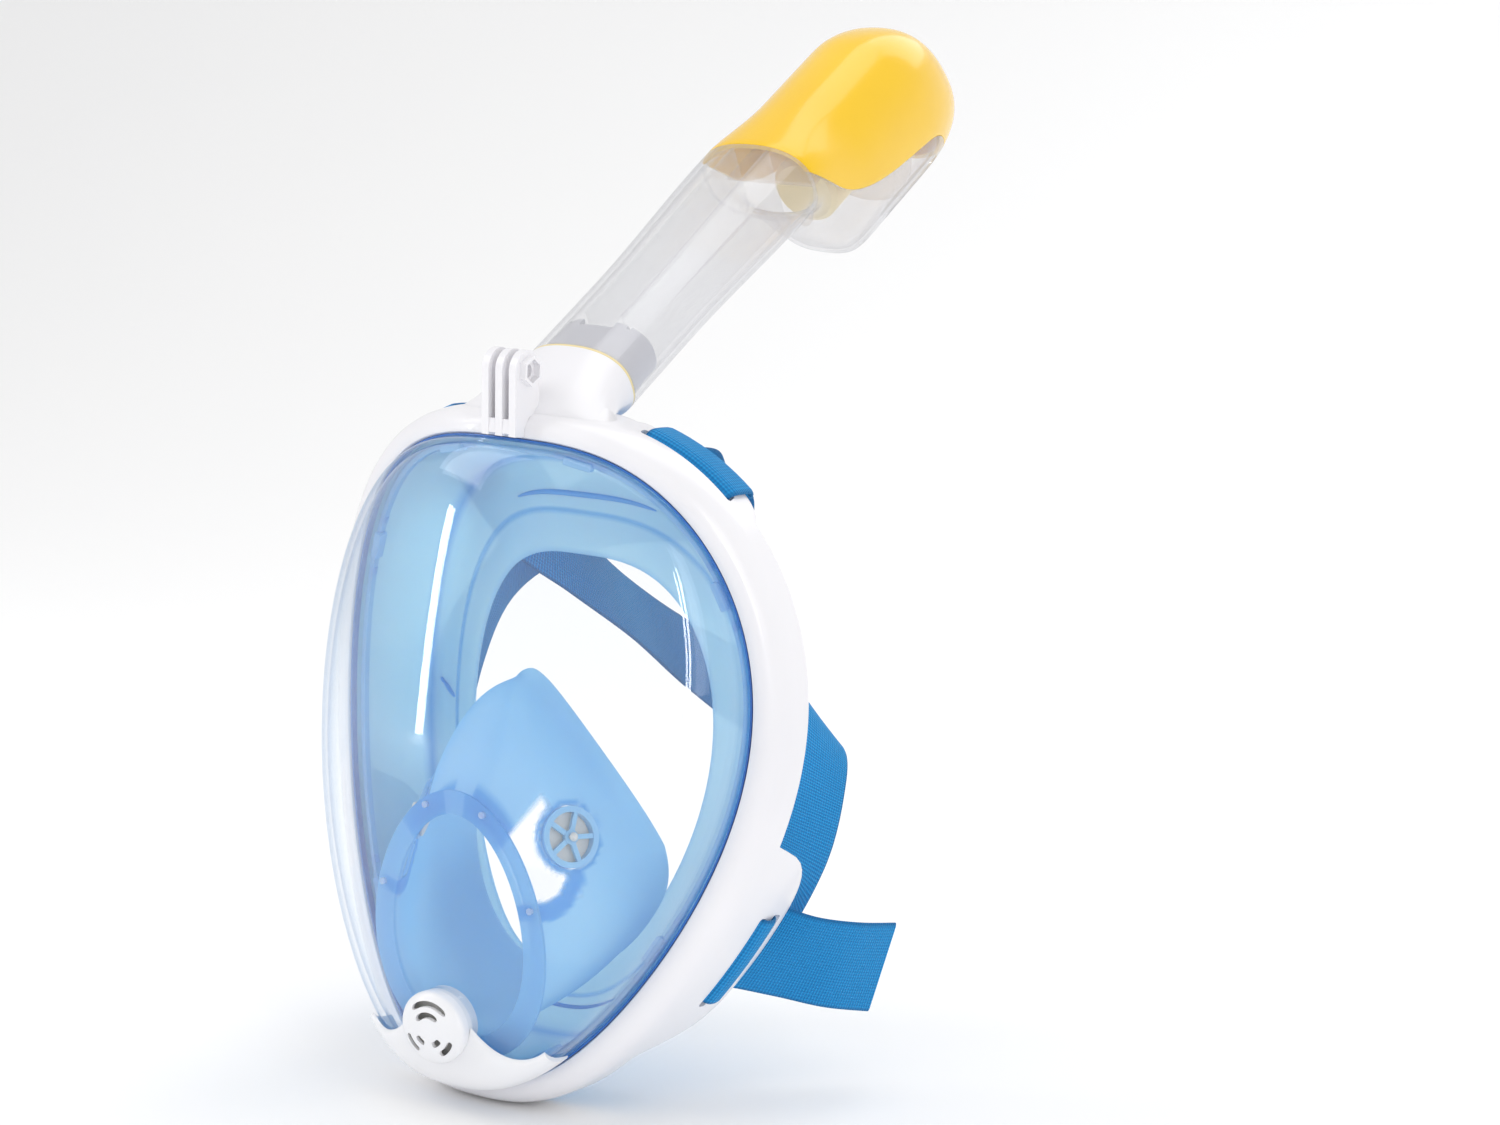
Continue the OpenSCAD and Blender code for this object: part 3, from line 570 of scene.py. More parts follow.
# the second colour of each clear material is its painted outline shade at glancing angles
LENS = clear("lens_clear", (0.985, 0.993, 1.0, 1), (0.4, 0.58, 0.8, 1), rough=0.012, body=0.03,
             power=4.0, most=0.7)
TUBE = clear("tube_clear", (0.965, 0.965, 0.968, 1), (0.62, 0.62, 0.66, 1), rough=0.05, body=0.1,
             haze=(0.9, 0.9, 0.92, 1))
# painted reflection: the warm tint, edge and haze of this clear plastic stand in for reflections of the cream
# float
INNER_WARM_REFLECTION = clear("inner_clear_warm_reflection", (0.95, 0.93, 0.9, 1), (0.72, 0.62, 0.55, 1), rough=0.05, body=0.16,
              haze=(1.0, 0.9, 0.82, 1))
RIVET = clear("rivet_clear", (0.9, 0.93, 0.96, 1), (0.5, 0.56, 0.64, 1), rough=0.04, body=0.3)
CLIP = silicone("clip_blue", rgb("C0E8FF"), rgb("5FB0F0"), see=0.35, rough=0.2)
SKIRT = silicone("skirt_silicone", rgb("D6F4FF"), rgb("A2DEFF"), see=0.32, rough=0.33, band=True)
RIB = silicone("rib_silicone", rgb("6FC0F6"), rgb("4FA6EA"), see=0.1, rough=0.35)
POCKET = silicone("pocket_silicone", rgb("BFEAFF"), rgb("86D2FF"), see=0.24, rough=0.36, window=True,
                  band=True)
STRAP = webbing("strap_webbing")

# ---------------------------------------------------------------- frame
COLS = 288
ANG = [-180 + 360 * i / COLS for i in range(COLS)]


def depth_at(s):
    return 22 + bump(s, EAR, 20, 33) + bump(s, TAB, 15, 8) + bump(s, 0, 24, 10)


def frame_profile(s):
    d = depth_at(s)
    q = [(0.6, 1.2), (0.6, -0.5), (1.3, -1.5), (2.8, -1.75), (4.9, -1.35), (6.8, -0.35), (8.4, 1.2),
         (9.7, 3.6), (10.5, 6.4), (10.9, 9.5), (11, 12)]
    q += [(11, 12 + (d - 13) * t) for t in (0.2, 0.4, 0.6, 0.8, 0.95)]
    q += [(11, d - 0.7), (10.7, d - 0.1), (9.7, d), (8.7, d - 0.1), (8.4, d - 0.7)]
    q += [(8.4, 12 + (d - 13) * t) for t in (0.95, 0.6, 0.3)]
    q += [(8.4, 12), (8.2, 9), (7.6, 6.5), (6.8, 4.6), (5.6, 3.2), (3.4, 1.9)]
    return [on_rim(s, o, e) for o, e in q]


def slot_cutter(s, near, far):
    p, axes = rim_axes(s, 10, (near + far) / 2)
    return box_mesh("slot", (STRAP_W + 3.4, far - near, 15), axes, p, round_by=1.6)


def oval_ring(a, f, b, sides=144):
    """A squarish oval: half width a, f to the front and b to the back."""
    out = []
    for i in range(sides):
        t = 2 * math.pi * i / sides
        c, d = math.cos(t), math.sin(t)
        out.append((a * sgn(c) * abs(c) ** (2 / 2.4),
                    (b - f) / 2 + (b + f) / 2 * sgn(d) * abs(d) ** (2 / 2.4)))
    return out


def tube_ring(a, b, s, sides=144):
    """The oval a by b across the snorkel's line at height s."""
    return [snork(x, y, s) for x, y in oval_ring(a, b, b, sides)]


def top_of_frame(x, y):
    """Height of the frame's outer skin over a point near the brow."""
    # first the rim angle that has this x on the outer skin
    lo, hi = -60.0, 60.0
    for _ in range(30):
        m = (lo + hi) / 2
        if on_rim(m, 10.9, 0)[0] < x:
            lo = m
        else:
            hi = m
    s = (lo + hi) / 2
    d = y - rim_y(rim_x(s), rim_z(s))
    prof = [(8.4, 1.2), (9.7, 3.6), (10.5, 6.4), (10.9, 9.5), (11, 12), (11, 60)]
    o = np.interp(d, [q[1] for q in prof], [q[0] for q in prof])
    return on_rim(s, o, 0)[2]


def neck():
    """A flare from the frame's brow up to the snorkel's foot, with the bore inside it."""
    sides = 144
    half_width, ahead, behind, mid_y = 33.0, 15.5, 19.0, -41.5
    top = tube_ring(TUBE_A, TUBE_B, -0.9)
    foot = []
    for i in range(sides):
        t = 2 * math.pi * i / sides
        c, d = math.cos(t), math.sin(t)
        x = half_width * sgn(c) * abs(c) ** (2 / 2.3)
        y = mid_y + (behind if d > 0 else ahead) * sgn(d) * abs(d) ** (2 / 2.3)
        foot.append(np.array([x, y, top_of_frame(x, y) - 0.25]))
    up = unit(snork(0, 0, 0) - snork(0, 0, -10))
    # each line leaves along the skin towards the neck and arrives along the tube
    leave, arrive = [], []
    probe = 1.5
    for p in foot:
        inward = np.array([-p[0], -30.0 - p[1], 0.0])
        inward = inward / np.linalg.norm(inward)
        slope = (top_of_frame(p[0] + probe * inward[0], p[1] + probe * inward[1])
                 - top_of_frame(p[0], p[1])) / probe
        front = soft(-p[1], 44, 55)
        leave.append((inward + np.array([0, 0, slope])) * (26 * (1 - 0.7 * front))
                     + np.array([0, 0, 14 * front]))
        arrive.append(up * (20 + 6 * front))
    rows = []
    n = 26
    for k in range(n + 1):
        t = k / n
        h00, h10 = 2 * t**3 - 3 * t**2 + 1, t**3 - 2 * t**2 + t
        h01, h11 = -2 * t**3 + 3 * t**2, t**3 - t**2
        rows.append([h00 * p + h10 * m0 + h01 * q + h11 * m1
                     for p, q, m0, m1 in zip(foot, top, leave, arrive)])
    # a small rounded lip and the bore
    rows.append(tube_ring(TUBE_A - 0.35, TUBE_B - 0.35, -0.55))
    rows.append(tube_ring(TUBE_A - 2.0, TUBE_B - 2.0, -0.9))
    rows += [tube_ring(TUBE_A - 2.1, TUBE_B - 2.1, s) for s in (-4, -8, -13)]
    v, f = grid(rows, loop_u=True, loop_v=True)
    ob = make("neck", v, f)
    ob.data.materials.append(WHITE)
    return ob


v, f = grid([frame_profile(s) for s in ANG], loop_u=True, loop_v=True)
shell = make("shell", v, f)
cutters = [slot_cutter(m * TAB, 15.6, 21.4) for m in (-1, 1)]
cutters += [slot_cutter(m * EAR, 35.2, 40.6) for m in (-1, 1)]
cutters += [slot_cutter(m * EAR, 44.6, 50.4) for m in (-1, 1)]
# air way under the neck
cutters.append(prism("airway", *[[np.array([x * 0.86, -42 + y * 0.8, z]) for x, y in oval_ring(23, 15, 15, 64)]
                                 for z in (118, 138)]))
cut(shell, cutters)
sharpen(shell, 32)
shell.data.materials.append(WHITE)
body = join("frame_body", [shell, neck()])
sharpen(body, 38)
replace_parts(body, "frame_shell")
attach(body, "mask")

# ---------------------------------------------------------------- lens
FACE_U = [0.08, 0.16, 0.24, 0.32, 0.4, 0.48, 0.56, 0.63, 0.69, 0.74, 0.78, 0.815, 0.845, 0.87, 0.893, 0.913,
          0.931, 0.947, 0.96, 0.971, 0.98, 0.988]
SIDE_W = [0.6, 0.52, 0.44, 0.36, 0.28, 0.2, 0.12, 0.05, 0.0]
LENS_ROWS = [(u, superside(u)) for u in FACE_U] + [(superside(w), w) for w in SIDE_W]


def chin_bore(half):
    """Cutter for the round hole of the chin valve."""
    return prism("hole", *[[at_chin(CHIN_HOLE * math.cos(t), CHIN_HOLE * math.sin(t), h) for t in turns(96)]
                           for h in (-half, half)])


def lens_piece():
    back = SEAT_DEPTH + WALL
    rows = [[lens_at(s, u, w, -0.4, 0, SEAT_DEPTH) for s in ANG] for u, w in LENS_ROWS]
    # the flange that the frame holds
    rows += [[on_rim(s, o, d) for s in ANG] for o, d in
             ((0.6, 2.15), (2.3, SEAT_DEPTH), (2.6, 2.5), (2.6, back - 0.3), (2.3, back))]
    rows += [[lens_at(s, u, w, -0.4 - WALL, -WALL, back) for s in ANG] for u, w in reversed(LENS_ROWS)]
    n, m = len(rows), COLS
    v, f = grid(rows, loop_v=True)
    v += [np.array([0, lens_face(0, 0), 0]), np.array([0, lens_face(0, 0) + WALL, 0])]
    e = n * m
    for j in range(m):
        f.append((e, (j + 1) % m, j))
        f.append((e + 1, e - m + j, e - m + (j + 1) % m))
    ob = make("visor", v, f)
    cut(ob, [chin_bore(15)])
    sharpen(ob, 50)
    ob.data.materials.append(LENS)
    return ob


lens = lens_piece()
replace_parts(lens, "visor_lens")
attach(lens, "mask")

# dark line between lens and frame
v, f = grid([[on_rim(s, -0.25, -0.95), on_rim(s, 0.1, -1.15), on_rim(s, 0.5, -0.95), on_rim(s, 0.5, 1.9),
              on_rim(s, -0.25, 2.0)] for s in ANG], loop_u=True, loop_v=True)
seal = make("rim_seal", v, f)
sharpen(seal, 60)
seal.data.materials.append(DARKSEAL)
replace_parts(seal, "lens_seal")
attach(seal, "mask")

# clip ring with its blocks
v, f = grid([[on_rim(s, -4.6, 1.4), on_rim(s, -4.4, 1.2), on_rim(s, -3.0, 1.2), on_rim(s, -2.8, 1.4),
              on_rim(s, -2.8, 4.0), on_rim(s, -3.0, 4.2), on_rim(s, -4.4, 4.2), on_rim(s, -4.6, 4.0)]
             for s in ANG], loop_u=True, loop_v=True)
blocks = [make("clips", v, f)]
blocks[0].data.materials.append(CLIP)


def clip_block(s, o, d, size, round_by):
    at, axes = rim_axes(s, o, d)
    ob = box_mesh("block", size, axes, at, round_by=round_by)
    ob.data.materials.append(CLIP)
    blocks.append(ob)


for s in (-150, -118, -60, -18, 18, 60, 118, 150):
    clip_block(s, -4.9, 1.6, (11, 4.4, 3), 0.5)
    for off in (-1, 1):
        clip_block(s + off * 5.6, -3.9, 2.8, (3.0, 2.2, 2.2), 0.35)
clips = join("clip_frame", blocks)
sharpen(clips, 40)
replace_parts(clips, "clip_ring")
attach(clips, "mask")


# ---------------------------------------------------------------- skirt
def face_x(s):
    f = fcos(s)
    return FACE_W * math.sin(math.radians(s)) * (1 + 0.16 * f - 0.1 * f * f)


def face_z(s):
    return FACE_MID + FACE_H * fcos(s)


def on_face(s, f, dy):
    """f runs from the rim, 0, to the skirt's opening, 1; dy is backwards."""
    x = rim_x(s) * (1 - f) + face_x(s) * f
    z = rim_z(s) * (1 - f) + face_z(s) * f
    return np.array([x, -8 + 0.0042 * x * x + dy, z])


def skirt_profile(s):
    n = rim_out(s)
    o3 = np.array([n[0], 0, n[1]])
    a, b = on_rim(s, -0.8, 9), on_face(s, 0.16, -6)
    ai, bi = on_rim(s, -2.9, 9), on_face(s, 0.22, -8.4)
    outer = [on_rim(s, 3.0, 4.4), on_rim(s, 3.4, 4.8), on_rim(s, 3.4, 7.6), on_rim(s, 3.0, 8.1),
             on_rim(s, 0.6, 8.4), a]
    outer += [a * (1 - t) + b * t + o3 * 1.0 * math.sin(math.pi * t) for t in (0.2, 0.4, 0.6, 0.8)]
    outer += [b] + [on_face(s, q, dy) for q, dy in (
        (0.22, -3.2), (0.3, -1.4), (0.4, -0.7), (0.5, -0.2), (0.6, 0), (0.75, 0.15), (0.9, 0.3), (0.97, 0.3),
        (0.995, -0.1), (1, -0.7))]
    # a stepped lip: the inner edge is a thinner second flap
    inner = [on_face(s, q, dy) for q, dy in (
        (0.985, -1.1), (0.95, -1.4), (0.85, -1.6), (0.70, -1.7), (0.66, -1.75), (0.645, -2.5), (0.62, -2.7),
        (0.5, -2.8), (0.4, -3.3), (0.34, -3.8), (0.27, -5.6))] + [bi]
    inner += [bi * (1 - t) + ai * t - o3 * 1.2 * math.sin(math.pi * t) for t in (0.2, 0.4, 0.6, 0.8)]
    inner += [ai, on_rim(s, -2.9, 4.9), on_rim(s, -2.5, 4.5)]
    return outer + inner


v, f = grid([skirt_profile(s) for s in ANG], loop_u=True, loop_v=True)
skirt_main = make("skirt", v, f)
# painted shade: darker lines where the walls fold and at the step of the lip, carried in the band attribute
n_prof = len(skirt_profile(0))
line = np.zeros(n_prof)
for at, fold_shade in ((10, 0.75), (11, 0.45), (16, 0.2), (20, 0.5), (21, 0.35), (25, 0.8), (26, 0.8), (32, 0.75)):
    line[at] = fold_shade
attribute(skirt_main, "band", np.tile(line, COLS))
port = box_mesh("port", (26, 8, 16), np.eye(3), (0, -45.5, 120), round_by=2.0)
cut(skirt_main, [port])
sharpen(skirt_main, 45)
skirt_main.data.materials.append(SKIRT)


def rib(path, w, h):
    """A soft raised rib along points on a surface; each item is (point, normal, side)."""
    rows = []
    n = len(path)
    for i, (p, nn, sd) in enumerate(path):
        e = math.sin(math.pi * min(1, max(0, (i + 0.3) / (n - 0.4)))) ** 0.35
        row = []
        for k in range(9):
            t = math.pi * k / 8
            row.append(p + sd * (w / 2 * e) * math.cos(t) + nn * (h * e * math.sin(t) - 0.3))
        rows.append(row)
    v, f = grid(rows, loop_v=True)
    f += [tuple(range(9)), tuple(range((n - 1) * 9, n * 9))]
    ob = make("rib", v, f)
    ob.data.materials.append(RIB)
    return ob


def face_rib(s0, s1, f0, f1, w, h, n):
    """A rib along the skirt's front, w wide and h high, in n steps."""
    path = []
    for i in range(n):
        t = i / (n - 1)
        s, q = s0 + (s1 - s0) * t, f0 + (f1 - f0) * t
        p = on_face(s, q, -2.9 if q > 0.36 else -3.8)
        e = on_face(s + (s1 - s0) * 0.01, q + (f1 - f0) * 0.01, 0) - on_face(s, q, 0)
        run = unit(e)
        nn = np.array([0, -1.0, 0])
        path.append((p, nn, unit(np.cross(run, nn))))
    return rib(path, w, h)


ribs = [skirt_main]
for m in (-1, 1):
    ribs.append(face_rib(m * 84, m * 85, 0.28, 0.62, 2.2, 1.4, 16))
ribs.append(face_rib(-26, 24, 0.52, 0.5, 2.2, 1.5, 40))
ribs.append(face_rib(150, 210, 0.52, 0.52, 1.6, 0.9, 30))
skirt = join("skirt_soft", ribs)
sharpen(skirt, 45)
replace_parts(skirt, "face_skirt")
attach(skirt, "mask")


# ---------------------------------------------------------------- breathing pocket
def mouth_x(t, o):
    r = math.radians(t)
    return (MOUTH_W + o) * math.sin(r) * (1 - 0.12 * math.cos(r))


def mouth_z(t, o):
    return MOUTH_MID + (MOUTH_H + o) * math.cos(math.radians(t))


def mouth_pt(t, o, back):
    x, z = mouth_x(t, o), mouth_z(t, o)
    return np.array([x, back_of_lens(x, z) + back, z])


def pinch(t):
    """How strongly the pocket is drawn in beside the nose."""
    q = abs(t) if abs(t) <= 180 else 360 - t
    return math.sin(math.radians(q * 180 / 115)) ** 1.5 if 0 < q < 115 else 0.0


def nose_pt(t, o):
    c, e = math.cos(math.radians(t)), pinch(t)
    d = math.sin(math.radians(t))
    x = (48 + o) * d * (1 - 0.2 * max(0, c)) - sgn(d) * 9 * e
    return np.array([x, -9 + 0.0025 * x * x - 29 * max(0, c) ** 3 - 3 * max(0, -c) - 6 * e,
                     -28 + (60 + o) * c - 10 * e])


def pocket_pt(t, v, o):
    """v runs from the opening on the lens, 0, to the edge on the face, 1; o is outwards."""
    m, n = mouth_pt(t, o, 1.9), nose_pt(t, o)
    c, d = math.cos(math.radians(t)), math.sin(math.radians(t))
    b = (7 + 7 * max(0, c)) * (1 - 0.1 * pinch(t)) * abs(math.sin(math.pi * v)) ** 1.5
    return m * (1 - v) + n * v + np.array([b * d, 0, b * max(0, c)])


VALVE_T, VALVE_V = 61.0, 0.36


def valve_axes():
    p = pocket_pt(VALVE_T, VALVE_V, -0.75)
    a = pocket_pt(VALVE_T + 4, VALVE_V, 0) - pocket_pt(VALVE_T - 4, VALVE_V, 0)
    b = pocket_pt(VALVE_T, VALVE_V + 0.05, 0) - pocket_pt(VALVE_T, VALVE_V - 0.05, 0)
    w = unit(np.cross(a, b))
    if w[0] < 0:
        w = -w
    return p, w


VP, VW = valve_axes()
POCKET_COLS = 200


def pocket_mask(t, v, p):
    """How far a pocket point is in the darker band and in the clear window."""
    tt = t if t <= 180 else 360 - t
    q = np.array([abs(p[0]), p[1], p[2]])
    r = np.linalg.norm((q - VP) - VW * ((q - VP) @ VW))
    # band: a ring round the valve, a tail down to the lower rivet, and a patch by the upper rivet
    ring_ = soft(13.4, r - 0.6, r + 0.6)
    path = [(76, 0.0), (80, 0.07), (83, 0.15), (82, 0.23), (76, 0.31), (66, 0.36)]
    best = 1e9
    for (a0, b0), (a1, b1) in zip(path[:-1], path[1:]):
        for k in range(4):
            u = k / 4
            c = pocket_pt(a0 + (a1 - a0) * u, b0 + (b1 - b0) * u, 0)
            best = min(best, float(np.linalg.norm(q - c)))
    tail = soft(3.6, best - 0.6, best + 0.6)
    upper = soft(0.13 - v, -0.012, 0.012) * soft(44 - tt, -1.5, 1.5) * soft(tt - 8, -1.5, 1.5)
    flange = soft(0.012 - v, -0.004, 0.004) * 0.5
    band = max(ring_, tail, upper * 0.9, flange)
    window = (soft(v, 0.018, 0.028) * soft(0.33 - v, -0.012, 0.012)
              * soft(tt, 40, 42.5) * soft(82.5 - tt, -1, 1))
    return band, window * (1 - max(ring_, tail))


def pocket_piece():
    loops, info = [], []
    vs = [0.02, 0.035, 0.05, 0.07, 0.09, 0.11, 0.13, 0.15, 0.17, 0.19, 0.21, 0.23, 0.25, 0.27, 0.29, 0.31, 0.34,
          0.38, 0.42, 0.46, 0.5, 0.55, 0.6, 0.65, 0.7, 0.75, 0.8, 0.85, 0.9, 0.94, 0.97, 0.99]
    flange_out = [(7.4, 0.5), (7.4, 1.7), (7.1, 1.9), (4.5, 1.9), (2.0, 1.95), (0.8, 2.2)]
    flange_in = [(-1.5, 1.0), (-1.4, 0.4), (2.0, 0.35), (7.1, 0.35)]
    wall = 1.5
    for i in range(POCKET_COLS):
        t = 360 * i / POCKET_COLS
        row, tag = [], []

        def add(p, v_):
            row.append(p)
            tag.append(pocket_mask(t, v_, p))

        for o, back in flange_out:
            add(mouth_pt(t, o, back), 0.0)
        for q in vs:
            add(pocket_pt(t, q, 0), q)
        # rolled edge against the face
        e = pocket_pt(t, 1, 0)
        g = pocket_pt(t, 1, -wall)
        add(e * 0.8 + g * 0.2 + np.array([0, 0.35, 0]), 1)
        add(e * 0.2 + g * 0.8 + np.array([0, 0.35, 0]), 1)
        for q in reversed(vs):
            add(pocket_pt(t, q, -wall), q)
        for o, back in flange_in:
            add(mouth_pt(t, o, back), 0.0)
        loops.append(row)
        info.append(tag)
    v, f = grid(loops, loop_u=True, loop_v=True)
    ob = make("pocket", v, f)
    flat = [g for r in info for g in r]
    attribute(ob, "band", [g[0] for g in flat])
    attribute(ob, "window", [g[1] for g in flat])
    # the band stands a little proud of the wall, outwards only
    me = ob.data
    m = len(loops[0])
    first = len(flange_out)
    for i, g in enumerate(flat):
        if first <= i % m < first + len(vs) and g[0] > 0:
            nn = np.array(me.vertices[i].normal)
            me.vertices[i].co += Vector(nn * (0.5 * g[0] * MM))
    holes = []
    for s in (-1, 1):
        w = np.array([s * VW[0], VW[1], VW[2]])
        c = np.array([s * VP[0], VP[1], VP[2]])
        a = unit(np.cross(w, [0, 0, 1]))
        b = np.cross(w, a)
        holes.append(prism("hole", *[[c + h * w + 11.62 * (math.cos(t) * a + math.sin(t) * b)
                                      for t in turns(72)] for h in (-8, 8)]))
    cut(ob, holes)
    sharpen(ob, 55)
    ob.data.materials.append(POCKET)
    return ob


pocket = pocket_piece()
pocket.name = "pocket_soft"
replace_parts(pocket, "nose_pocket")
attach(pocket, "mask")

# ---------------------------------------------------------------- chin cover
def chin_cover():
    R = 13.8
    prof = [(R - 0.35, 1.9), (R - 0.15, 3.2), (R, 4.6), (R - 0.15, 5.6), (R - 0.7, 6.5), (R - 1.8, 7.2),
            (R - 3.4, 7.85), (R - 5.2, 8.3), (R - 8, 8.7), (R - 10, 8.9)]
    inner = [(R - 8, 7.2), (R - 4.6, 6.8), (R - 2.6, 6.1), (R - 1.9, 5.0), (R - 1.9, 1.9)]
    sides = 144
    rows = [[at_chin(r * math.cos(2 * math.pi * i / sides), r * math.sin(2 * math.pi * i / sides), z)
             for i in range(sides)] for r, z in prof + inner]
    v, f = grid(rows, loop_u=True, loop_v=True)
    # flat middle: the strip from the outer to the inner skin gives way to two discs
    k = (len(prof) - 1) * sides
    del f[k:k + sides]
    f += [tuple(range(k, k + sides)), tuple(range(k + sides, k + 2 * sides))]
    dome = make("dome", v, f)
    # the fairing runs 38 degrees to each side of the chin, and is highest in the middle
    loops = []
    for s in [142 + 76 * i / 120 for i in range(121)]:
        hill = (math.cos(math.radians(min(180, abs(s - 180) * 180 / 38))) + 1) / 2
        top = 0.965 - 0.26 * hill
        path = [(u, superside(u)) for u in np.linspace(top, 0.985, 18)]
        path += [(superside(w), w) for w in np.linspace(0.6, 0.3, 8)]
        n = len(path)
        up = []
        for k, (u, w) in enumerate(path):
            t = 0.5 + (1.4 + hill) * math.sqrt(math.sin(math.pi * k / (n - 1)) + 1e-9)
            up.append(lens_at(s, u, w, 0.4 + t, 0.8 + t, SEAT_DEPTH))
        dn = [lens_at(s, u, w, 0.4, 0.8, SEAT_DEPTH) for u, w in reversed(path)]
        loops.append(up + dn)
    v, f = grid(loops, loop_v=True)
    fair = make("fair", v, f + end_faces(len(loops), len(loops[0])))
    cut(fair, [chin_bore(20)])

    def arc(a0, a1, near, far):
        """Cutter for one curved slot with rounded ends, from angle a0 to a1."""
        steps = 24
        mid, half = (near + far) / 2, (far - near) / 2
        loops = []
        for i in range(steps + 1):
            t = math.radians(a0 + (a1 - a0) * i / steps)
            end = math.sqrt(max(0.05, 1 - (abs(i / steps - 0.5) * 2) ** 8))
            loops.append([at_chin((mid + e * half * end) * math.cos(t), (mid + e * half * end) * math.sin(t), z)
                          for e, z in ((-1, 4), (1, 4), (1, 16), (-1, 16))])
        v, f = grid(loops, loop_v=True)
        k = steps * 4
        return make("arc", v, f + [(0, 1, 2, 3), (k, k + 1, k + 2, k + 3)], smooth=False)

    wide, narrow = (8.8, 10.95), (4.6, 6.85)
    arcs = [arc(42, 138, *wide), arc(46, 150, *narrow)]
    for a0, a1, band in ((-62, -18, wide), (-72, -32, narrow)):
        arcs.append(arc(a0, a1, *band))
        arcs.append(arc(180 - a1, 180 - a0, *band))
    cut(dome, arcs)
    for o in (dome, fair):
        o.data.materials.append(WHITE2)
    ob = join("chin_cover", [dome, fair])
    sharpen(ob, 40)
    return ob


cover = chin_cover()
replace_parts(cover, "drain_cover")
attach(cover, "mask")


# ---------------------------------------------------------------- snorkel
TUBE_WALL = 2.1


def tube_a(s):
    return TUBE_A + 3 * soft(s, 45, 140)


def tube_b(s):
    return TUBE_B + 2.2 * soft(s, 45, 140)


heights = [0.7, 0.9] + list(range(10, 131, 10)) + [139.8, 140]
rows = [tube_ring(tube_a(s), tube_b(s), s) for s in heights]
rows += [tube_ring(tube_a(s) - TUBE_WALL, tube_b(s) - TUBE_WALL, s) for s in reversed(heights)]
v, f = grid(rows, loop_u=True, loop_v=True)
tube_parts = [make("pipe", v, f)]
sharpen(tube_parts[0], 50)
# two partitions part the air ways
heights = [24, 24.6] + list(range(30, 136, 8)) + [139.4]
for x in (-8, 8):
    rows = []
    for s in heights:
        b = tube_b(s) - 1.9
        rows.append([snork(x + i * 0.7, j * b, s) for i, j in ((-1, -1), (1, -1), (1, 1), (-1, 1))])
    v, f = grid(rows, loop_v=True)
    k = (len(heights) - 1) * 4
    tube_parts.append(make("wall", v, f + [(0, 1, 2, 3), (k, k + 1, k + 2, k + 3)], smooth=False))
for ob in tube_parts:
    ob.data.materials.append(TUBE)
tube = join("tube_body", tube_parts)
sharpen(tube, 50)
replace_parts(tube, "snorkel_tube")
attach(tube, "snorkel")

# the snorkel's head: how far back it reaches, its foot, where its dome starts, its top, and its slant
CH_BACK, CH_LOW, CH_DOME, CH_TOP, RAKE = 56.0, 140.2, 228, 270.0, 0.38
CH_WALL = 2


def chamber_back(s):
    b = tube_b(s)
    return b + (CH_BACK - b) * soft(s, CH_LOW + 2, CH_LOW + 38)


def chamber_row(s, k, t, sides=160):
    """The head's outline at height s, shrunk by k towards its middle and by t from its skin."""
    f, b, a = tube_b(s) - t, chamber_back(s) - t, tube_a(s) - t
    out = []
    for x, y in oval_ring(a * k, f, b, sides):
        yy = (b - f) / 2 + (y - (b - f) / 2) * k
        out.append(snork(x, yy, s + RAKE * (yy - 20) * soft(s, 186, 262)))
    return out


def head_shell(name):
    hs = [CH_LOW + 4.4 * k for k in range(10)] + list(range(186, CH_DOME + 1, 6))
    qs = [6, 12, 18, 24, 30, 36, 42, 48, 54, 60, 66, 71, 76, 80, 83.5, 86.5, 88.7]

    def rows_at(t):
        out = [chamber_row(s, 1, t) for s in hs]
        out += [chamber_row(CH_DOME + (CH_TOP - CH_DOME - t) * math.sin(math.radians(q)),
                            math.cos(math.radians(q)) ** 0.62, t) for q in qs]
        return out

    rows = list(reversed(rows_at(0))) + rows_at(CH_WALL)
    v, f = grid(rows, loop_v=True)
    m = len(rows[0])
    n = len(rows) * m
    tip = (CH_BACK - 17.8) / 2
    v += [snork(0, tip, CH_TOP - 0.2), snork(0, tip, CH_TOP - CH_WALL - 0.2)]
    for j in range(m):
        f.append((n, j, (j + 1) % m))
        f.append((n + 1, n - m + (j + 1) % m, n - m + j))
    return make(name, v, f)


CAP_EDGE = [(-24, 124), (-15, 132), (3, 150), (13, 160), (19, 170), (24, 184), (27.5, 200), (30.5, 220),
            (33, 234), (38, 242), (48, 248), (62, 252)]


def cap_zone(grow):
    """The space that the yellow cap takes of the head, seen from the side."""
    pts = curve_through([(y + grow, s - grow) for y, s in CAP_EDGE], [8] * (len(CAP_EDGE) - 1))
    pts += [(90, 260 - grow), (90, 320), (-60, 320), (-60, 124 - grow)]
    return prism("zone", *[[snork(x, y, s) for y, s in pts] for x in (-50, 50)])


def inlet_cutters():
    """Two upright slots with round ends in the back of the chamber."""
    out = []
    for m in (-1, 1):
        turn = math.radians(-38 * m)
        ca, sa = math.cos(turn), math.sin(turn)
        loops = []
        for y0 in (18, 58):
            loops.append([])
            for i in range(48):
                t = 2 * math.pi * i / 48
                x0 = 3.4 * math.cos(t)
                s = 216 + 20 * sgn(math.sin(t)) * (1 if abs(math.sin(t)) > 1e-9 else 0) + 3.4 * math.sin(t)
                loops[-1].append(snork(x0 * ca - y0 * sa, 22 + x0 * sa + y0 * ca, s))
        out.append(prism("inlet", *loops))
    return out


cap = cut(head_shell("cap_top"), [cap_zone(-0.1)], "INTERSECT")
bevel(cap, 0.3, 50)
settle(cap)
sharpen(cap, 40)
cap.data.materials.clear()
cap.data.materials.append(YELLOW)
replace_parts(cap, "dry_top_cap")
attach(cap, "snorkel")

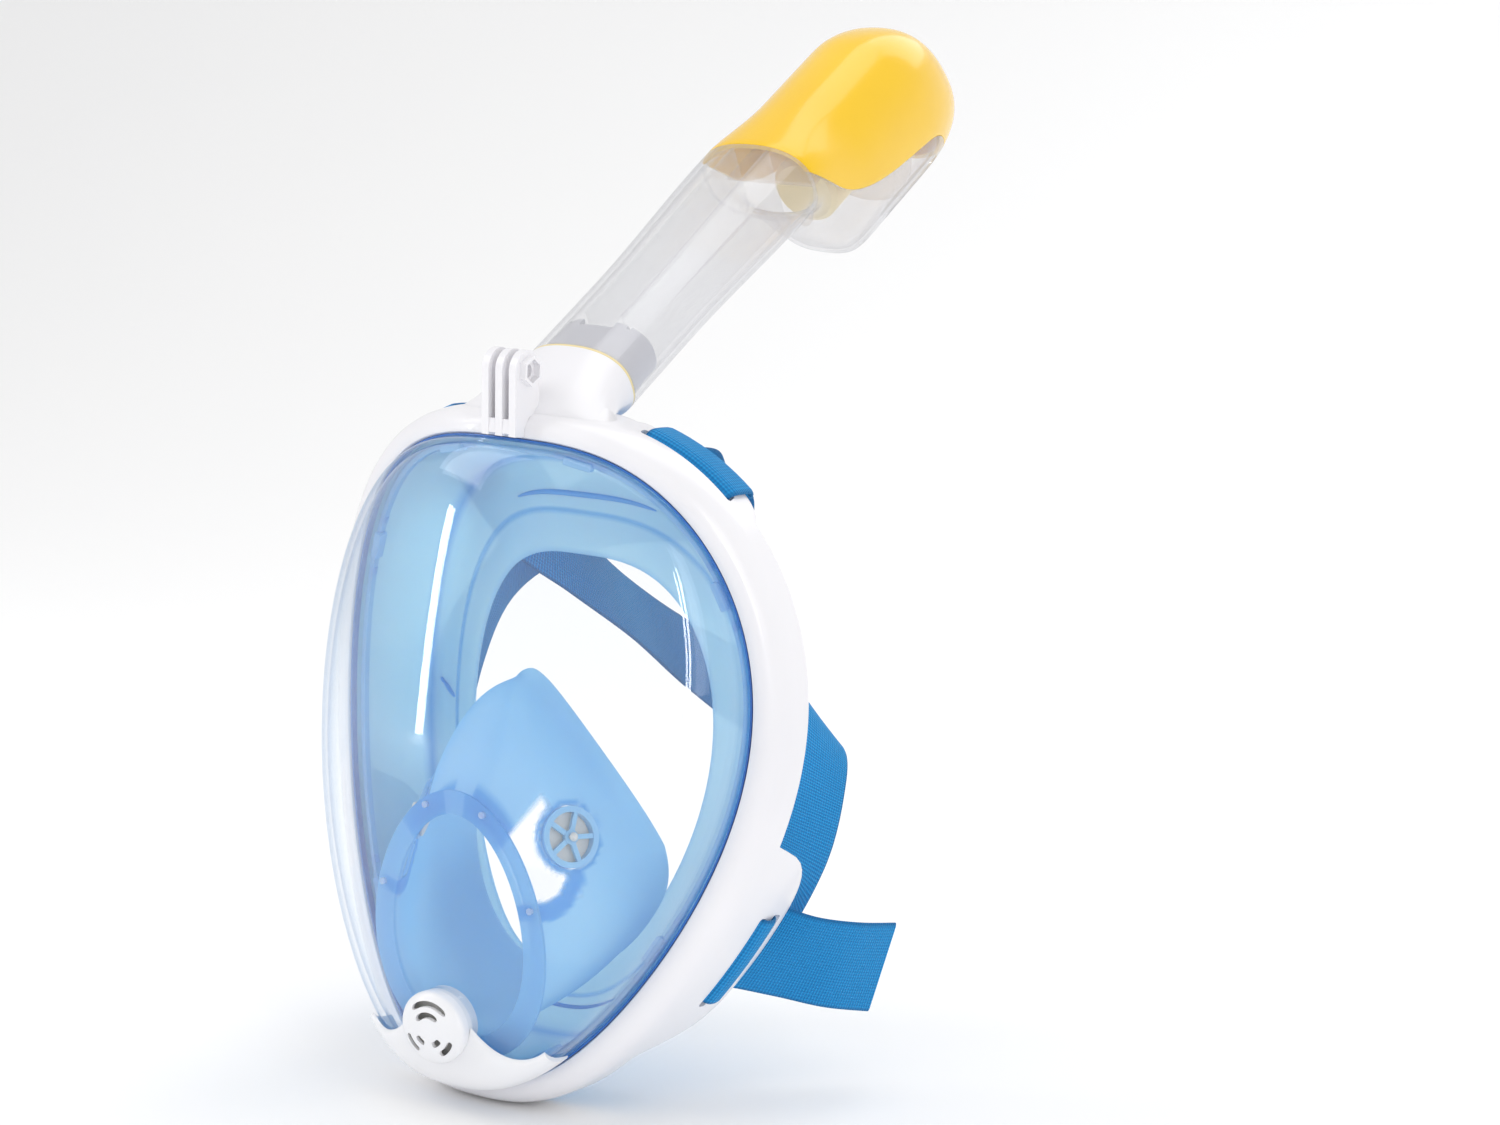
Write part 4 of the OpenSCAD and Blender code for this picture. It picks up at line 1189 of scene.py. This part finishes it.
chamber = cut(head_shell("chamber_clear"), [cap_zone(0.1)] + inlet_cutters())
sharpen(chamber, 45)
chamber.data.materials.clear()
chamber.data.materials.append(TUBE)
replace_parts(chamber, "float_chamber")
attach(chamber, "snorkel")


# spigot and its seal ring
def oval_solid(name, a, b, a2, b2, low, high, mat, lip=0.3):
    """An oval sleeve, a by b outside and a2 by b2 inside, with its edges eased by lip."""
    rows = [tube_ring(*q) for q in
            ((a - lip, b - lip, low), (a, b, low + lip), (a, b, high - lip), (a - lip, b - lip, high),
             (a2 + lip, b2 + lip, high), (a2, b2, high - lip), (a2, b2, low + lip), (a2 + lip, b2 + lip, low))]
    v, f = grid(rows, loop_u=True, loop_v=True)
    ob = make(name, v, f)
    ob.data.materials.append(mat)
    return ob


spig = oval_solid("spigot_body", 20.9, 13.2, 18.9, 11.2, -13, 21, GREY)
across = [[1, 0, 0], BACK, ALONG]
notches = [box_mesh("notch", (15, 12, 7), across, snork(0, y, 20.5), round_by=1.0) for y in (-16, 16)]
notches += [box_mesh("notch", (1.6, 14, 4), across, snork(x, -16, 21), round_by=0.3) for x in (-13, 13)]
cut(spig, notches)
sharpen(spig, 40)
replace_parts(spig, "spigot")
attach(spig, "mask")

ringp = oval_solid("seal_ring", 23.15, 15.45, 21.1, 13.4, -0.8, 0.6, CREAM, lip=0.25)
sharpen(ringp, 50)
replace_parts(ringp, "spigot_seal")
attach(ringp, "mask")

# ---------------------------------------------------------------- straps
# [place, direction across the strap] from the tail to the ear and from the ear round the back,
# and [out of the rim, back from the rim] through the ear and round the tab
TAIL = [[[101, 63, -82], [-0.25, 0, -0.95]], [[94, 44, -79], [-0.35, 0, -0.92]],
        [[83, 28, -75], [-0.45, 0, -0.86]]]
TAIL_FAR = [[[91, 67, -83], [-0.25, 0, -0.95]], [[87.5, 45, -79.5], [-0.35, 0, -0.92]],
            [[82.5, 28, -75], [-0.45, 0, -0.86]]]
EAR_PATH = [[6.4, 55.5], [7.6, 49.5], [9.7, 47.2], [11.9, 45.2], [12.4, 43.5], [12.4, 41.5], [11.9, 39.4],
            [10.2, 37.7], [8.2, 37.3], [6.4, 38.2], [5.2, 40], [4.4, 43], [3.8, 50], [4.2, 59]]
RIGHT = [
    [[77, 26, -58], [-0.3, 0.3, -0.91]],
    [[79, 31, -37], [0.1, 0.9, -0.42]],
    [[78, 40, -10], [0.25, 0.88, -0.4]],
    [[68, 57, 12], [0.35, 0.6, -0.72]],
    [[44, 77, 10], [0.3, 0.2, -0.93]],
    [[12, 87, 13], [0.35, 0, -0.94]],
    [[-14, 80, 27], [0.45, 0, -0.89]],
    [[-30, 62, 46], [0.5, 0, -0.87]],
    [[-42, 42, 66], [0.2, 0, -0.98]],
    [[-49, 20, 84], [-0.35, 0, -0.93]]
]
LEFT = [
    [[80, 26, -57], [-0.3, 0.2, -0.93]],
    [[86, 33, -36], [0, 0.75, -0.66]],
    [[90, 36, -8], [0.1, 0.9, -0.42]],
    [[87, 40, 22], [0.1, 0.86, -0.5]],
    [[74, 48, 52], [0.3, 0.6, -0.74]],
    [[54, 57, 72], [0.35, 0.3, -0.88]],
    [[28, 64, 84], [0.25, 0.1, -0.96]],
    [[0, 62, 90], [0.1, 0, -0.99]],
    [[-28, 44, 92], [-0.15, 0, -0.98]],
    [[-48, 20, 88], [-0.4, 0, -0.9]]
]
TAB_PATH = [[5.0, 42], [5.8, 35], [6.2, 28], [6.5, 24], [7.2, 20.6], [9.2, 18.2], [11.0, 18.4], [12.2, 20.6],
            [12.4, 24], [12.4, 28], [12.1, 31.4], [10.9, 33.8], [9.2, 35]]


def strap_track(w, tail, way):
    """The path of the line that lies w mm from the strap's middle."""
    out = [np.array(p) + w * unit(q) for p, q in tail]
    out += [on_rim(EAR + w * EAR_TURN, *q) for q in EAR_PATH]
    out += [np.array(p) + w * unit(q) for p, q in way]
    out += [on_rim(-TAB - w * TAB_TURN, *q) for q in TAB_PATH]
    return out


def strap(name, tail, way, mirror):
    cross = [-19, -18.6, -17.5, -14, -10, -5, 0, 5, 10, 14, 17.5, 18.6, 19]
    mid = strap_track(0, tail, way)
    counts = [max(2, int(np.linalg.norm(q - p) / 1.3)) for p, q in zip(mid[:-1], mid[1:])]
    tracks = [np.array(curve_through(strap_track(w, tail, way), counts)) for w in cross]
    m = len(tracks[0])
    run_len = np.concatenate([[0], np.cumsum(np.linalg.norm(np.diff(tracks[6], axis=0), axis=1))])
    rows, uvs = [], []
    nc = len(cross)
    for i in range(m):
        up, dn = [], []
        for k in range(nc):
            run = tracks[k][min(m - 1, i + 1)] - tracks[k][max(0, i - 1)]
            side = tracks[min(nc - 1, k + 1)][i] - tracks[max(0, k - 1)][i]
            nn = unit(np.cross(side, run))
            h = STRAP_T / 2 * (1 - 0.72 * max(0, (abs(cross[k]) - 17.6) / 1.4) ** 2)
            up.append(tracks[k][i] + nn * h)
            dn.append(tracks[k][i] - nn * h)
        rows.append(up + dn[::-1])
        uvs.append([(w, run_len[i]) for w in cross] + [(w, run_len[i]) for w in cross[::-1]])
    if mirror:
        rows = [[p * np.array([-1, 1, 1]) for p in r] for r in rows]
    v, f = grid(rows, loop_v=True)
    ob = make(name, v, f + end_faces(m, 2 * nc))
    flat = [u for r in uvs for u in r]
    layer = ob.data.uv_layers.new(name="UVMap")
    for lp in ob.data.loops:
        layer.data[lp.index].uv = flat[lp.vertex_index]
    # patches of hook-and-loop fastening on the far strap: its tail, and behind the ear
    tag = []
    for w, along in flat:
        a = (soft(44 - along, -2, 2) + soft(along, 88, 92) * soft(175 - along, -2, 2)) if mirror else 0.0
        tag.append(a * soft(17.5 - abs(w), -0.5, 0.5))
    attribute(ob, "loops", tag)
    ob.data.materials.append(STRAP)
    sharpen(ob, 60)
    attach(ob, "mask")
    return ob


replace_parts(strap("strap_near", TAIL, RIGHT, False), "strap_right")
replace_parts(strap("strap_far", TAIL_FAR, LEFT, True), "strap_left")

# ---------------------------------------------------------------- carried-over CAD nodes
for node, mat, width in (("camera_mount", WHITE, 0.45), ("pocket_rivets", RIVET, 0.2),
                         ("inhale_seat_right", VALVE, 0.25), ("inhale_seat_left", VALVE, 0.25),
                         ("inhale_flap_right", FLAP, 0.12), ("inhale_flap_left", FLAP, 0.12),
                         ("drain_seat", DRAIN, 0.2), ("drain_membrane", FLAP, 0.2),
                         ("float_seat", INNER_WARM_REFLECTION, 0.2), ("float_block", FOAM, 0.6), ("float_pad", PAD, 0.3)):
    ob = N[node]
    for s in ob.material_slots:
        s.material = mat
    if not ob.material_slots:
        ob.data.materials.append(mat)
    bevel(ob, width, 40)

# ---------------------------------------------------------------- floor, light, camera
floor_z = cad_box[0][2] - 0.0005
line = [(-9.0, floor_z)]
for i in range(60):
    t = i / 59
    line.append((-3.0 + 6.2 * t, floor_z + (0 if t < 0.6 else 3.2 * ((t - 0.6) / 0.4) ** 2.4)))
v, f = grid([[[x * 1000, y * 1000, z * 1000] for x in (-8, -4, 0, 4, 8)] for y, z in line])
floor = make("studio_floor", v, f)
k = Nodes("floor_white")
p = k.new("BsdfPrincipled", Roughness=0.9,
          Base_Color=k.mix(k.noise(3.0), (0.965, 0.965, 0.97, 1), (0.98, 0.98, 0.98, 1)))
floor.data.materials.append(k.end(p.outputs[0]))

world = bpy.data.worlds.new("studio")
bpy.context.scene.world = world
world.use_nodes = True
world.node_tree.nodes["Background"].inputs[0].default_value = (1, 1, 1, 1)
world.node_tree.nodes["Background"].inputs[1].default_value = 0.75


def area(name, at, to, size, power, shape=(1, 1)):
    d = bpy.data.lights.new(name, "AREA")
    d.shape = "RECTANGLE"
    d.size, d.size_y = size * shape[0], size * shape[1]
    d.energy = power
    o = bpy.data.objects.new(name, d)
    o.visible_camera = False
    bpy.context.scene.collection.objects.link(o)
    o.location = at
    o.rotation_euler = (Vector(to) - Vector(at)).to_track_quat("-Z", "Y").to_euler()


area("key", (-1.3, -1.1, 1.2), (0, 0, 0.02), 0.9, 7.5, (0.8, 1.3))
area("fill", (1.9, -0.7, 0.6), (0, 0, 0.0), 1.0, 4, (0.7, 1.2))
area("top", (0.1, 0.3, 1.9), (0, 0, 0.05), 1.3, 7)
area("strip_right", (1.35, -0.95, 0.3), (0, -0.05, 0.02), 1.0, 3.2, (0.06, 0.8))
area("strip_left", (-1.15, -1.05, 0.05), (0, -0.05, 0.02), 1.0, 2.4, (0.05, 0.7))
area("back", (0.2, 1.3, 1.3), (0, 0, 0.05), 1.1, 4.5)

cam_d = bpy.data.cameras.new("camera")
cam = bpy.data.objects.new("camera", cam_d)
bpy.context.scene.collection.objects.link(cam)
bpy.context.scene.camera = cam
# fitted over the photograph: azimuth, elevation and roll, then the turn that centres the mask
az, el, roll = math.radians(35), math.radians(11), math.radians(3.1)
back = np.array([math.sin(az) * math.cos(el), -math.cos(az) * math.cos(el), math.sin(el)])
right = np.array([math.cos(az), math.sin(az), 0])
up = np.cross(back, right)
right, up = right * math.cos(roll) + up * math.sin(roll), -right * math.sin(roll) + up * math.cos(roll)
FOCAL_PX = 3541
ahead = unit(-back + right * (249.5 / FOCAL_PX) + up * (194.5 / FOCAL_PX))
right = unit(right - ahead * (right @ ahead))
up = np.cross(right, ahead)
pose = Matrix([[right[i], up[i], -ahead[i], 0] for i in range(3)] + [[0, 0, 0, 1]])
pose.translation = Vector([0.7376, -1.1084, 0.2500])
cam.matrix_world = pose
cam_d.lens = 85
cam_d.sensor_width = 36
cam_d.clip_start, cam_d.clip_end = 0.05, 50

sc = bpy.context.scene
sc.view_settings.view_transform = "Standard"
sc.cycles.transparent_max_bounces = 48
sc.cycles.max_bounces = 12
